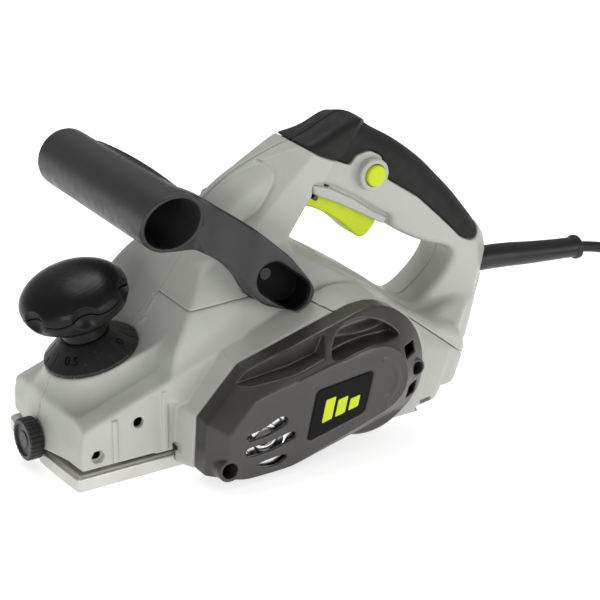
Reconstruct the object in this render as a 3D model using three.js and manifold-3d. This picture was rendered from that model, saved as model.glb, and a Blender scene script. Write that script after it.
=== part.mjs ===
// Electric hand planer, in millimetres, +Z up.
// Pieces are placed in the nose frame: x runs from the tip of the front shoe to the cord,
// y from the belt side (negative) to the plain side (positive), z up from the sole.
// The whole group is then moved so that the origin is the middle of the rear sole's underside.
import * as THREE from 'three';
import { mergeVertices } from 'three/addons/utils/BufferGeometryUtils.js';
import { ConvexGeometry } from 'three/addons/geometries/ConvexGeometry.js';
import Module from 'manifold-3d';

const wasm = await Module();
wasm.setup();

// Driving dimensions
const GAP = 0.3;
const SOLE_HALF_WIDTH = 45;
const SHOE_LENGTH = 71;
const SHOE_THICKNESS = 8;
const SHOE_BULGE = 4;
const SOLE_FRONT = 107.5;
const SOLE_REAR = 226;
const SOLE_THICKNESS = 5;
const ORIGIN_X = (SOLE_FRONT + SOLE_REAR) / 2;
const NOSE_BOTTOM = 12;
const SKIRT_BOTTOM = 1.5;

const DRUM = { x: 92, z: 24.5 };
const DRUM_RADIUS = 22.3;
const BLADE_CIRCLE = 24.2;
const CHAMBER_RADIUS = 27;
const CUT_HALF_WIDTH = 41;
const MOTOR = { x: 161.5, z: 41 };
const MOTOR_CAVITY_RADIUS = 34;
const DRUM_PULLEY_RADIUS = 15;
const MOTOR_PULLEY_RADIUS = 10;
const BELT_THICKNESS = 2.5;
const BELT_PLANE = [-78, -64];

const KNOB_TILT = THREE.MathUtils.degToRad(15.3);
const DIAL = { x: 30.5, z: 57.7, radius: 26.4 };
const DIAL_TOP = 15;
const CAP_RADIUS = 30;
const CAP_WAIST = 36.5;
const CAP_TOP = 52;

const BASE_FACE = -60;
const COVER_SHOULDER = -72;
const COVER_FACE = -84;
const COVER_WALL = 2.5;

const HANDLE_HALF_WIDTH = 17;
const HANDLE_WALL = 5.5;
const GRIP_THICKNESS = 2.5;
const BUTTON = { x: 200.7, z: 133, radius: 6.2, ring: 9.7 };
const PIVOT = { x: 165, z: 124.5 };

const TUBE = { x: 64, z: 136, outer: 18.2, inner: 15.5, low: -33, high: 94 };
const SOCKET = { front: [116, 99.5], rear: [132.5, 87], inner: 10, low: -50, floor: -38 };

const CLAMP_KNOB = { z: 15.5, radius: 11.8, front: -13, back: -5 };
const COVER_SCREWS = [{ x: 68.7, z: 12.6 }, { x: 192.3, z: 39.2 }];
const SOLE_SCREWS = [[215, -30], [215, 30]];
const SCREW_PLACES = [{ x: 112, z: 128 }, { x: 266, z: 72 }, { x: 266, z: 40 }];
const GUIDE_HOLE = { x: 34.9, z: 32.7, radius: 3 };
const HEX_POCKET = { x: 10.3, z: 18.6, radius: 3.6 };
const TRIGGER_HALF_WIDTH = 9;

const CORD_RADIUS = 3.3;
const COIL = { x: 475, y: -42.9, meanRadius: 36.3, turnsAcross: 3, turnsHigh: 3, lift: 1.8 };
const PLUG_ENTRY = 26;
const TIE = { wall: 1.1, clearance: 0.5, halfLength: 5, bottom: 0.2 };

// Colours and finishes
const material = (color, roughness, metalness = 0) =>
  new THREE.MeshStandardMaterial({ color, roughness, metalness });
const GREY_SHELL = material(0xb4b7ae, 0.5);
const DARK_PLASTIC = material(0x3a3a3c, 0.5);
const BLACK_PLASTIC = material(0x2c2c2e, 0.45);
const SOFT_RUBBER = material(0x363636, 0.75);
const LIME = material(0xd3ea1e, 0.45);
const CAST_ALUMINIUM = material(0xc4c4c0, 0.4, 0.9);
const STEEL = material(0xb0b2b4, 0.3, 1);
const BRIGHT_STEEL = material(0xd5d7d9, 0.2, 1);
const COPPER = material(0xb87345, 0.35, 1);
const CARBON = material(0x26262a, 0.8);
const LABEL = material(0x17171a, 0.35);

// Solids: closed triangle meshes that can be joined and cut
function solidOf(geometry) {
  const bare = geometry.clone();
  bare.deleteAttribute('normal');
  bare.deleteAttribute('uv');
  const merged = mergeVertices(bare, 1e-4);
  const vertProperties = new Float32Array(merged.attributes.position.array);
  const triVerts = new Uint32Array(merged.index.array);
  return new wasm.Manifold(new wasm.Mesh({ numProp: 3, vertProperties, triVerts }));
}

function geometryOf(solid) {
  const mesh = solid.getMesh();
  const geometry = new THREE.BufferGeometry();
  geometry.setAttribute('position', new THREE.BufferAttribute(new Float32Array(mesh.vertProperties), 3));
  geometry.setIndex(Array.from(mesh.triVerts));
  const flat = geometry.toNonIndexed();
  flat.computeVertexNormals();
  return flat;
}

const join = (...solids) => solids.reduce((whole, next) => whole.add(next));
const cut = (solid, ...tools) => tools.reduce((whole, tool) => whole.subtract(tool), solid);

// Shapes drawn in the x-z plane
const toShape = (outline) => new THREE.Shape(outline.map(([x, z]) => new THREE.Vector2(x, z)));

// Moves every edge of an outline outwards (positive distance) or inwards (negative distance).
function offsetOutline(outline, distance) {
  const points = outline.map(([x, z]) => new THREE.Vector2(x, z));
  const turn = THREE.ShapeUtils.area(points) > 0 ? 1 : -1;
  return points.map((point, index) => {
    const before = points[(index + points.length - 1) % points.length];
    const after = points[(index + 1) % points.length];
    const arriving = point.clone().sub(before).normalize();
    const leaving = after.clone().sub(point).normalize();
    const firstNormal = new THREE.Vector2(arriving.y, -arriving.x).multiplyScalar(turn);
    const secondNormal = new THREE.Vector2(leaving.y, -leaving.x).multiplyScalar(turn);
    const bisector = firstNormal.add(secondNormal).normalize();
    const reach = distance / Math.max(0.4, bisector.dot(secondNormal));
    return [point.x + bisector.x * reach, point.y + bisector.y * reach];
  });
}

// Extrudes an x-z outline from yLow to yHigh; the bevel narrows the outline towards both ends.
function slab(outline, yLow, yHigh, bevel = 0, bevelDepth = bevel, hole = null) {
  const shape = toShape(outline);
  if (hole) {
    shape.holes.push(new THREE.Path(hole.map(([x, z]) => new THREE.Vector2(x, z))));
  }
  const geometry = new THREE.ExtrudeGeometry(shape, {
    depth: yHigh - yLow - 2 * bevelDepth,
    bevelEnabled: bevel > 0,
    bevelSize: bevel,
    bevelThickness: bevelDepth,
    bevelOffset: -bevel,
    bevelSegments: bevel > 6 ? 2 : 1,
  });
  geometry.rotateX(Math.PI / 2);
  geometry.translate(0, yHigh - bevelDepth, 0);
  return solidOf(geometry);
}

function block(xRange, yRange, zRange) {
  const size = [xRange, yRange, zRange].map(([low, high]) => high - low);
  const middle = [xRange, yRange, zRange].map(([low, high]) => (low + high) / 2);
  return solidOf(new THREE.BoxGeometry(...size).translate(...middle));
}

// Cylinder along y
function rod(centre, radius, yLow, yHigh, sides = 24) {
  const geometry = new THREE.CylinderGeometry(radius, radius, yHigh - yLow, sides);
  return solidOf(geometry.translate(centre.x, (yLow + yHigh) / 2, centre.z));
}

const ring = (centre, outer, inner, yLow, yHigh, sides = 24) =>
  cut(rod(centre, outer, yLow, yHigh, sides), rod(centre, inner, yLow - 1, yHigh + 1, sides));

// Cylinder along x
function crossRod(y, z, radius, xLow, xHigh, sides = 20) {
  const geometry = new THREE.CylinderGeometry(radius, radius, xHigh - xLow, sides);
  return solidOf(geometry.rotateZ(Math.PI / 2).translate((xLow + xHigh) / 2, y, z));
}

function post(x, y, radius, zLow, zHigh, sides = 16) {
  const geometry = new THREE.CylinderGeometry(radius, radius, zHigh - zLow, sides);
  return solidOf(geometry.rotateX(Math.PI / 2).translate(x, y, (zLow + zHigh) / 2));
}

// Turns a profile of [radius, height] pairs about the tilted axis of the depth knob.
function knobTurning(profile, sides = 28) {
  const points = profile.map(([radius, height]) => new THREE.Vector2(radius, height));
  const geometry = new THREE.LatheGeometry(points, sides).rotateX(Math.PI / 2);
  return solidOf(geometry.rotateY(-KNOB_TILT).translate(DIAL.x, 0, DIAL.z));
}

const knobRod = (radius, low, high, sides = 24) =>
  knobTurning([[0, low], [radius, low], [radius, high], [0, high]], sides);

function circleOutline(centre, radius, sides = 32) {
  return Array.from({ length: sides }, (_, index) => {
    const angle = (index / sides) * 2 * Math.PI;
    return [centre.x + radius * Math.cos(angle), centre.z + radius * Math.sin(angle)];
  });
}

// Outline of a band round two circles
function bandOutline(first, firstRadius, second, secondRadius, steps = 12) {
  const dx = second.x - first.x;
  const dz = second.z - first.z;
  const along = Math.atan2(dz, dx);
  const lean = Math.acos((firstRadius - secondRadius) / Math.hypot(dx, dz));
  const outline = [];
  for (let step = 0; step <= steps; step++) {
    const angle = along + lean + (step / steps) * (2 * Math.PI - 2 * lean);
    outline.push([first.x + firstRadius * Math.cos(angle), first.z + firstRadius * Math.sin(angle)]);
  }
  for (let step = 0; step <= steps; step++) {
    const angle = along - lean + (step / steps) * 2 * lean;
    outline.push([second.x + secondRadius * Math.cos(angle), second.z + secondRadius * Math.sin(angle)]);
  }
  return outline;
}

const planer = new THREE.Group();
planer.position.x = -ORIGIN_X;

function addPiece(name, shape, finish) {
  const geometry = shape.isBufferGeometry ? shape : geometryOf(shape);
  const mesh = new THREE.Mesh(geometry, finish);
  mesh.name = name;
  planer.add(mesh);
}

// Outlines of the housing, all in x and z
const NOSE_AND_TAIL = [
  [0, -14], [0, 33], [5, 50], [56, 64], [90, 74], [130, 80], [175, 80], [198, 70],
  [225, 52], [252, 40], [256, 24], [240, -14],
];
const HUMP = [
  [52, 40], [57, 65], [70, 83], [86, 101], [118, 106], [150, 102], [177, 84], [198, 70], [205, 40],
];
const BELT_BASE = [
  [59, 4], [61, 36], [86, 61], [126, 72], [157, 80], [176, 79], [193, 69], [215, 50],
  [240, 28], [229, 1.5], [125, 1.5], [112, 4],
];
const HANDLE = [
  [78, 84], [88, 103], [99, 133], [115, 144], [131, 152], [146, 158], [157, 162.5], [170, 166.5],
  [180, 168], [188, 167.5], [194, 165], [206, 155.5], [217, 148.5], [231, 138.5], [245, 126],
  [260, 108.5], [275, 88.5], [286.5, 74], [291, 67], [294, 59], [292, 47], [284, 28], [277, 10],
  [250, 10], [200, 40], [150, 70],
];
const HAND_HOLE = [
  [149, 105], [158, 122], [182, 116], [206, 108], [216, 102], [230, 94.5], [241, 87], [249, 78],
  [249, 68], [240, 58], [228, 50], [221, 51.5], [198, 70.5], [177, 83.7], [155, 97],
];
const GRIP_ZONE = [
  [134, 166], [148, 158.5], [163.6, 148.5], [176.8, 144], [188, 139.8], [191, 145], [200.7, 146],
  [209, 141], [212, 127.5], [234.2, 112], [248.7, 97.5], [263.5, 82], [271, 78.5], [277, 80],
  [285, 95], [240, 170], [150, 185],
];
const HUMP_SIDES = [-39, 52];
const SEAM = [[40, 84], [125, 85], [206, 56], [270, 8]];

// The ring of wall that the soft grip replaces, between two depths under the handle's surface
function handleSkin(depth, clearance) {
  const halfWidth = HANDLE_HALF_WIDTH - depth;
  const inner = slab(offsetOutline(HANDLE, -depth), -halfWidth, halfWidth, 7);
  const outer = slab(offsetOutline(HANDLE, 4), -HANDLE_HALF_WIDTH - 4, HANDLE_HALF_WIDTH + 4);
  const zone = slab(offsetOutline(GRIP_ZONE, clearance), -30, 30);
  return outer.subtract(inner).intersect(zone);
}

const solidHandle = () => slab(HANDLE, -HANDLE_HALF_WIDTH, HANDLE_HALF_WIDTH, 8);

function housingOutside() {
  // The prow between the strut and the rear sole; its plain side is narrower by `less`.
  const prow = new ConvexGeometry([[-1, 0], [1, 12]].flatMap(([side, less]) => [
    new THREE.Vector3(200, side * (57 - less), SKIRT_BOTTOM),
    new THREE.Vector3(229, side * (57 - less), SKIRT_BOTTOM),
    new THREE.Vector3(272, side * 8, SKIRT_BOTTOM),
    new THREE.Vector3(205, side * (50 - less / 2), 46),
    new THREE.Vector3(243, side * (46 - less / 2), 27),
    new THREE.Vector3(281, side * 10, 30),
    new THREE.Vector3(232, side * 16, 50),
    new THREE.Vector3(286, side * 9, 50),
  ]));
  return join(
    slab(NOSE_AND_TAIL, -SOLE_HALF_WIDTH, SOLE_HALF_WIDTH, 9, 9),
    slab(HUMP, HUMP_SIDES[0], HUMP_SIDES[1], 12, 12),
    slab(BELT_BASE, BASE_FACE, -40, 1),
    slab(circleOutline({ x: 155, z: 48 }, 44, 24), 36, 58, 7, 7),
    solidHandle(),
    rod(BUTTON, BUTTON.ring, -19.5, -10),
    solidOf(prow),
  );
}

function housingHollows() {
  const boss = knobRod(9, -26, 2);
  const nose = slab([[5, -10], [5, 38], [10, 46], [58, 58], [58, -10]], -40, 40);
  const handle = cut(
    slab(offsetOutline(HANDLE, -HANDLE_WALL), -11.5, 11.5),
    slab(offsetOutline(HAND_HOLE, 3.2), -20, 20),
  );
  return join(
    nose.subtract(boss),
    rod(DRUM, CHAMBER_RADIUS, -CUT_HALF_WIDTH - 2.3, CUT_HALF_WIDTH + 0.6, 32),
    rod(DRUM, 7, -50.5, -40),
    rod(DRUM, 11.3, -62, -50),
    rod(DRUM, 4.15, 40, 62),
    rod(MOTOR, MOTOR_CAVITY_RADIUS, -46, 43, 36),
    rod(MOTOR, 7, -50.5, -40),
    rod(MOTOR, 11.3, -62, -50),
    rod(MOTOR, 11.3, 42, 50.3),
    block([198, 240], [-38, 38], [14, 36]),
    handle,
  );
}

function housingOpenings() {
  const seat = [-SOLE_HALF_WIDTH - GAP, SOLE_HALF_WIDTH + GAP];
  const shoeRoom = block([-30, SHOE_LENGTH + 1.3], [seat[0], 70], [-30, NOSE_BOTTOM]);
  const soleRoom = block([SOLE_FRONT - GAP, 260], seat, [-30, SOLE_THICKNESS + GAP]);
  const mouth = block([SHOE_LENGTH, SOLE_FRONT], [-CUT_HALF_WIDTH - 2.3, CUT_HALF_WIDTH + 0.6], [-30, 26]);
  const slotOutline = [[161, 90], [161, 129], [172, 139], [206, 139], [212, 116], [212, 90]];
  const slotHalfWidth = TRIGGER_HALF_WIDTH + 2 * GAP;
  const triggerSlot = slab(slotOutline, -slotHalfWidth, slotHalfWidth);
  const vents = [-2, -1, 0, 1, 2].map((step) =>
    block([158.5 + step * 8, 162.5 + step * 8], [52, 70], [56, 72]));
  const heel = [[204, 212], [217, 229]].map((xRange) => block(xRange, [-70, -54], [-5, 5]));
  return join(
    block([-40, 330], [-90, 90], [-60, SKIRT_BOTTOM]),
    shoeRoom,
    soleRoom,
    mouth,
    slab(HAND_HOLE, -70, 70),
    triggerSlot,
    knobRod(4.4, -40, 10, 16),
    crossRod(0, CLAMP_KNOB.z, 3.1, -10, 8),
    rod(BUTTON, BUTTON.radius + GAP, -25, -8),
    rod(PIVOT, 1.8, -14.3, 14.3, 12),
    crossRod(0, 56.6, 7.6, 283, 305),
    rod(HEX_POCKET, HEX_POCKET.radius, -50, -42, 6),
    rod(GUIDE_HOLE, GUIDE_HOLE.radius, -50, -42, 16),
    ...SCREW_PLACES.map((place) => rod(place, 2.1, -10, 14, 12)),
    ...SCREW_PLACES.map((place) => rod(place, 3.8, 13, 25, 16)),
    ...COVER_SCREWS.map((place) => rod(place, 2.1, -62, -51.5, 12)),
    ...SOLE_SCREWS.map(([x, y]) => post(x, y, 2.3, 4, 13.5, 12)),
    rod({ x: SOCKET.front[0], z: SOCKET.front[1] }, 2.1, -40, -25, 12),
    ...vents,
    ...heel,
  );
}

function addHousing() {
  const screwBosses = join(...SCREW_PLACES.map((place) => rod(place, 5.2, -16, 16, 16)));
  const walls = housingOutside().subtract(housingHollows());
  const bossed = walls.add(screwBosses.intersect(solidHandle()));
  const whole = cut(bossed, housingOpenings(), handleSkin(GRIP_THICKNESS + GAP, GAP), adapterSolid(GAP));
  const rightHalf = block([-50, 400], [GAP / 2, 200], [-50, 300]);
  const leftHalf = block([-50, 400], [-200, -GAP / 2], [-50, 300]);
  const seamMoved = (step) => SEAM.map(([x, z]) => [x, z + step]);
  const farAbove = [[-40, 300], [400, 300], [400, -20], [290, -20]];
  const farBelow = [[280, -20], [-40, -20], [-40, 84]];
  const aboveSeam = slab([...farAbove, ...seamMoved(GAP / 2).reverse()], -200, 0);
  const belowSeam = slab([...seamMoved(-GAP / 2), ...farBelow], -200, 0);
  addPiece('housing_right', whole.intersect(rightHalf), GREY_SHELL);
  addPiece('housing_left', whole.intersect(leftHalf).intersect(belowSeam), GREY_SHELL);
  addPiece('handle_cover_left', whole.intersect(leftHalf).intersect(aboveSeam), GREY_SHELL);
}

function addGrips() {
  const skin = handleSkin(GRIP_THICKNESS, 0).intersect(solidHandle());
  addPiece('grip_right', skin.intersect(block([0, 400], [GAP / 2, 60], [0, 300])), SOFT_RUBBER);
  addPiece('grip_left', skin.intersect(block([0, 400], [-60, -GAP / 2], [0, 300])), SOFT_RUBBER);
}

function addTrigger() {
  const outline = [
    [162, 127], [162, 119], [172, 113.5], [182, 107], [190, 99.5], [197, 93], [202, 92.5],
    [209, 101.5], [206, 113], [170, 129.5],
  ];
  const springSeat = post(200, 0, 3.4, 108, 120);
  const body = slab(outline, -TRIGGER_HALF_WIDTH, TRIGGER_HALF_WIDTH, 1);
  const lever = cut(body, rod(PIVOT, 1.8, -12, 12, 12), springSeat);
  addPiece('trigger', lever, LIME);
  addPiece('trigger_pin', rod(PIVOT, 1.5, -14, 14, 12), STEEL);
  addPiece('trigger_spring', coilSpring(200, 0, 2.4, 0.5, 108.8, 128.5, 5, new THREE.Matrix4()), STEEL);
  addPiece('switch_body', block([173, 206], [-10, 10], [130, 147]), BLACK_PLASTIC);
  addPiece('lock_button', rod(BUTTON, BUTTON.radius, -22, -14.5), LIME);
}

// A coil spring as one bent wire, standing on z and then placed by a matrix
function coilSpring(x, y, meanRadius, wireRadius, zLow, zHigh, turns, placement) {
  const stepsPerTurn = 8;
  const steps = turns * stepsPerTurn;
  const points = Array.from({ length: steps + 1 }, (_, index) => {
    const angle = (index / stepsPerTurn) * 2 * Math.PI;
    const height = zLow + wireRadius + ((zHigh - zLow - 2 * wireRadius) * index) / steps;
    return new THREE.Vector3(x + meanRadius * Math.cos(angle), y + meanRadius * Math.sin(angle), height);
  });
  const section = toShape(circleOutline({ x: 0, z: 0 }, wireRadius, 5));
  const path = new THREE.CatmullRomCurve3(points);
  const geometry = new THREE.ExtrudeGeometry(section, { steps, extrudePath: path, bevelEnabled: false });
  return solidOf(geometry.applyMatrix4(placement));
}

function addShoe() {
  const front = Array.from({ length: 9 }, (_, index) => {
    const y = SOLE_HALF_WIDTH * (1 - index / 4);
    return new THREE.Vector2(-SHOE_BULGE * (1 - (y / SOLE_HALF_WIDTH) ** 2), y);
  });
  const rearCorners = [-SOLE_HALF_WIDTH, SOLE_HALF_WIDTH].map((y) => new THREE.Vector2(SHOE_LENGTH, y));
  const plan = new THREE.Shape([...front, ...rearCorners]);
  const plate = solidOf(new THREE.ExtrudeGeometry(plan, { depth: SHOE_THICKNESS, bevelEnabled: false }));
  const groove = new THREE.Shape([[-3, -1], [3, -1], [0, 2.5]].map(([y, z]) => new THREE.Vector2(y, z)));
  const grooveCut = new THREE.ExtrudeGeometry(groove, { depth: 100, bevelEnabled: false });
  grooveCut.rotateX(Math.PI / 2).rotateZ(Math.PI / 2).translate(-10, 0, 0);
  const boss = knobRod(9, -53, -37);
  const lugs = join(block([14, 26], [30, 38], [7, 20]), block([14, 26], [-38, -30], [7, 20]));
  const boreHigh = knobRod(4.3, -54, -20, 16);
  const flatBottom = block([-50, 100], [-60, 60], [-30, 0]);
  const shoe = cut(join(plate, boss, lugs), boreHigh, solidOf(grooveCut), flatBottom);
  addPiece('front_shoe', shoe, CAST_ALUMINIUM);
}

function addSole() {
  const plate = block([SOLE_FRONT, SOLE_REAR], [-SOLE_HALF_WIDTH, SOLE_HALF_WIDTH], [0, SOLE_THICKNESS]);
  const holes = SOLE_SCREWS.flatMap(([x, y]) => [post(x, y, 2.3, -1, 9), post(x, y, 4.4, -1, 2.8)]);
  addPiece('rear_sole', cut(plate, ...holes), CAST_ALUMINIUM);
  SOLE_SCREWS.forEach(([x, y], index) => {
    const screw = join(post(x, y, 4, 0.6, 2.5), post(x, y, 2, 2.4, 13));
    addPiece(`rear_sole_screw_${index + 1}`, screw, STEEL);
  });
}

function addDepthKnob() {
  const screwBore = knobRod(4.4, -5, 33);
  const dial = [
    [0, GAP], [DIAL.radius, GAP], [DIAL.radius, 1.9], [14.5, 13], [12.6, DIAL_TOP], [0, DIAL_TOP],
  ];
  addPiece('depth_dial', cut(knobTurning(dial), screwBore), BLACK_PLASTIC);
  const body = [
    [0, DIAL_TOP + GAP], [11.5, DIAL_TOP + GAP], [11.5, 23], [20, 26], [28, 32],
    [CAP_RADIUS - 0.2, CAP_WAIST - GAP], [0, CAP_WAIST - GAP],
  ];
  addPiece('knob_body', cut(knobTurning(body), screwBore, knobRod(7.5, 28, 60)), BLACK_PLASTIC);
  const dome = [[0, CAP_WAIST]];
  for (let step = 0; step < 8; step++) {
    const angle = (step / 8) * (Math.PI / 2);
    dome.push([CAP_RADIUS * Math.cos(angle), CAP_WAIST + (CAP_TOP - CAP_WAIST) * Math.sin(angle)]);
  }
  dome.push([0, CAP_TOP]);
  addPiece('knob_cap', knobTurning(dome), BLACK_PLASTIC);
  addPiece('depth_screw', join(knobRod(4, -52, 28.6, 20), knobRod(7, 28.3, 33, 6)), STEEL);
  const placement = new THREE.Matrix4().makeTranslation(DIAL.x, 0, DIAL.z)
    .multiply(new THREE.Matrix4().makeRotationY(-KNOB_TILT));
  addPiece('depth_spring', coilSpring(0, 0, 6.5, 0.8, -36.6, -26.4, 4, placement), STEEL);
}

function drumPlace(geometry, turn) {
  return solidOf(geometry.rotateY(turn).translate(DRUM.x, 0, DRUM.z));
}

const boxAt = (xRange, yRange, zRange) => new THREE.BoxGeometry(
  xRange[1] - xRange[0], yRange[1] - yRange[0], zRange[1] - zRange[0],
).translate((xRange[0] + xRange[1]) / 2, (yRange[0] + yRange[1]) / 2, (zRange[0] + zRange[1]) / 2);

function addDrum() {
  const width = [-CUT_HALF_WIDTH, CUT_HALF_WIDTH];
  const boltPlaces = [-24, 24];
  let drum = join(rod(DRUM, DRUM_RADIUS, ...width, 40), rod(DRUM, 5, -79, -40, 20));
  drum = cut(drum, rod(DRUM, 9.3, 32.5, 42));
  [0, Math.PI].forEach((turn, side) => {
    const slot = drumPlace(boxAt([14, 30], [-50, 50], [-1, 6]), turn);
    drum = drum.subtract(slot);
    boltPlaces.forEach((y, index) => {
      drum = drum.subtract(drumPlace(boxAt([14.4, 30], [y - 4, y + 4], [5.9, 8.7]), turn));
      const head = new THREE.CylinderGeometry(3, 3, 2.2, 6).rotateX(Math.PI / 2).translate(18, y, 7.2);
      addPiece(`clamp_bolt_${side * 2 + index + 1}`, drumPlace(head, turn), STEEL);
    });
    const blade = boxAt([14.3, BLADE_CIRCLE], width, [-0.7, 0.4]);
    const clamp = boxAt([14.3, 21.3], width, [0.7, 5.7]);
    addPiece(`cutter_blade_${side + 1}`, drumPlace(blade, turn), BRIGHT_STEEL);
    addPiece(`blade_clamp_${side + 1}`, drumPlace(clamp, turn), STEEL);
  });
  addPiece('cutter_drum', drum, CAST_ALUMINIUM);
  addPiece('drum_bearing_left', ring(DRUM, 11, 5.3, -57, -50.3), STEEL);
  addPiece('drum_bearing_right', ring(DRUM, 9, 4.15, 33, 40), STEEL);
  addPiece('drum_stub_axle', rod(DRUM, 3.85, 33, 45), STEEL);
}

function addBeltDrive() {
  const [low, high] = BELT_PLANE;
  addPiece('drum_pulley', ring(DRUM, DRUM_PULLEY_RADIUS, 5.3, low, high, 30), BRIGHT_STEEL);
  addPiece('motor_pulley', ring(MOTOR, MOTOR_PULLEY_RADIUS, 4.3, low, high), BRIGHT_STEEL);
  const band = (extra) => bandOutline(DRUM, DRUM_PULLEY_RADIUS + extra, MOTOR, MOTOR_PULLEY_RADIUS + extra);
  addPiece('drive_belt', slab(band(BELT_THICKNESS), low + 1, high - 1, 0, 0, band(GAP)), SOFT_RUBBER);
}

function addMotor() {
  addPiece('motor_shaft', rod(MOTOR, 4, -79, 49.5, 20), STEEL);
  addPiece('armature_core', ring(MOTOR, 20.5, 4.3, -28, 16), STEEL);
  addPiece('commutator', ring(MOTOR, 12, 4.3, 20, 34), COPPER);
  addPiece('stator', ring(MOTOR, 33.4, 21.3, -28, 16, 32), STEEL);
  let fan = ring(MOTOR, 30, 4.3, -45.4, -43.5);
  for (let blade = 0; blade < 8; blade++) {
    const vane = boxAt([12, 30], [-44, -36], [-0.8, 0.8]).rotateY((blade / 8) * 2 * Math.PI);
    fan = fan.add(solidOf(vane.translate(MOTOR.x, 0, MOTOR.z)));
  }
  addPiece('fan', fan.add(ring(MOTOR, 13, 4.3, -44, -36)), BLACK_PLASTIC);
  addPiece('motor_bearing_left', ring(MOTOR, 11, 4.3, -57, -50.3), STEEL);
  addPiece('motor_bearing_right', ring(MOTOR, 11, 4.3, 43.2, 50), STEEL);
  let holder = ring(MOTOR, 33.4, 14, 31, 34, 32);
  [-1, 1].forEach((side, index) => {
    const place = (near, far) => [MOTOR.z + side * near, MOTOR.z + side * far].sort((a, b) => a - b);
    const sleeve = block([MOTOR.x - 4.5, MOTOR.x + 4.5], [22.5, 31.3], place(14, 30));
    const bore = block([MOTOR.x - 3.2, MOTOR.x + 3.2], [23.7, 30.3], place(12, 40));
    const brush = block([MOTOR.x - 2.9, MOTOR.x + 2.9], [24, 30], place(12.5, 24));
    holder = holder.add(sleeve).subtract(bore);
    addPiece(`carbon_brush_${index + 1}`, brush, CARBON);
  });
  addPiece('brush_holder', holder, BLACK_PLASTIC);
}

const COVER_RIM = [
  [59.5, 6], [61, 36], [86, 61], [126, 72], [157, 80], [166, 81], [176, 79], [185, 75], [193, 69],
  [200, 61], [205, 46], [205.5, 28], [200, 11], [190, 4], [176, 2.2], [120, 2.2], [76, 3.8], [66, 4.5],
];
const COVER_TOP = [
  [83.5, 48.5], [68, 31.5], [67, 16.5], [74, 5], [106, 4], [136, 12.7], [169, 22.7], [178.5, 29.8],
  [182, 37], [181.5, 44], [179, 50.6], [173.5, 56.5], [167, 60.4], [160, 61], [152, 59.4], [111, 52],
];

const BADGE = [[122.2, 45.5], [160.1, 49.2], [154, 24.7], [115.5, 15.5]];

function coverHull(inset, rimY) {
  const at = (outline, y) => offsetOutline(outline, -inset).map(([x, z]) => new THREE.Vector3(x, y, z));
  return solidOf(new ConvexGeometry([
    ...at(COVER_RIM, rimY), ...at(COVER_RIM, COVER_SHOULDER + inset), ...at(COVER_TOP, COVER_FACE + inset),
  ]));
}

function addBeltCover() {
  const rimY = BASE_FACE - GAP;
  const bosses = join(...COVER_SCREWS.map((place) => rod(place, 5.5, -78, rimY, 20)));
  const shell = coverHull(0, rimY).subtract(coverHull(COVER_WALL, rimY + 2));
  const bores = COVER_SCREWS.flatMap((place) => [
    rod(place, 2.1, -90, -55, 12),
    rod(place, 3.6, -90, -70, 16),
  ]);
  const slots = [[79, 30.5, 33], [78, 18.5, 32], [84, 7.5, 23]].map(([x, z, length]) =>
    slab([[x, z], [x + length, z + 8.5], [x + length, z + 13.5], [x, z + 5]], -95, -78));
  const badge = slab(BADGE, -100, COVER_FACE + 0.6);
  const cover = cut(shell.add(bosses.intersect(coverHull(0.5, rimY))), ...bores, ...slots, badge);
  addPiece('belt_cover', cover, DARK_PLASTIC);
  COVER_SCREWS.forEach((place, index) => {
    const screw = join(rod(place, 3.2, -72.5, -70.3, 16), rod(place, 1.8, -70.5, -52, 12));
    addPiece(`cover_screw_${index + 1}`, screw, STEEL);
  });
  addPiece('badge_plate', slab(offsetOutline(BADGE, -GAP), COVER_FACE - 0.2, COVER_FACE + 0.3), LABEL);
}

const ARM = [
  [62, 154.2], [70, 153.8], [80, 149], [105.5, 130], [128, 110], [142, 93], [146, 86], [143, 79.5],
  [134, 75], [123, 80], [111, 84.5], [104, 91], [100, 99.9], [90, 111], [80, 117.5], [64, 118],
];

// The dust adapter; the clearance makes the slightly larger tool that cuts its seat.
function adapterSolid(clearance) {
  const tube = rod(TUBE, TUBE.outer + clearance, TUBE.low, TUBE.high, 36);
  const arm = slab(offsetOutline(ARM, clearance), SOCKET.low, -32 + clearance);
  return tube.add(arm);
}

function addDustAdapter() {
  const front = { x: SOCKET.front[0], z: SOCKET.front[1] };
  const rear = { x: SOCKET.rear[0], z: SOCKET.rear[1] };
  const pocket = slab(bandOutline(front, SOCKET.inner, rear, SOCKET.inner, 8), -60, SOCKET.floor);
  const bore = rod(TUBE, TUBE.inner, -60, 120, 36);
  const screwBore = rod(front, 2.1, -60, 0, 12);
  addPiece('dust_adapter', cut(adapterSolid(0), pocket, bore, screwBore), BLACK_PLASTIC);
  const screw = join(rod(front, 3.4, -41, SOCKET.floor - GAP, 16), rod(front, 1.8, -39, -26, 12));
  addPiece('adapter_screw', screw, STEEL);
}

function addGuideClamp() {
  const { z, radius, front, back } = CLAMP_KNOB;
  const disc = crossRod(0, z, radius, front, back, 24);
  const bore = crossRod(0, z, 3, -10, 0);
  const dish = crossRod(0, z, 9, front - 1, front + 1.2);
  addPiece('guide_clamp_knob', cut(disc, bore, dish), BLACK_PLASTIC);
  addPiece('guide_clamp_bolt', crossRod(0, z, 2.7, -9.6, 15), STEEL);
}

function addHousingScrews() {
  SCREW_PLACES.forEach((place, index) => {
    const screw = join(rod(place, 3.4, 14.3, 16.2, 16), rod(place, 1.8, -9.7, 14.5, 12));
    addPiece(`housing_screw_${index + 1}`, screw, STEEL);
  });
}

// A round bar along a smooth route
function tubeAlong(route, radius, sides, steps) {
  const path = new THREE.CatmullRomCurve3(route.map((point) => new THREE.Vector3(...point)));
  const section = toShape(circleOutline({ x: 0, z: 0 }, radius, sides));
  return solidOf(new THREE.ExtrudeGeometry(section, { steps, extrudePath: path, bevelEnabled: false }));
}

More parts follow.
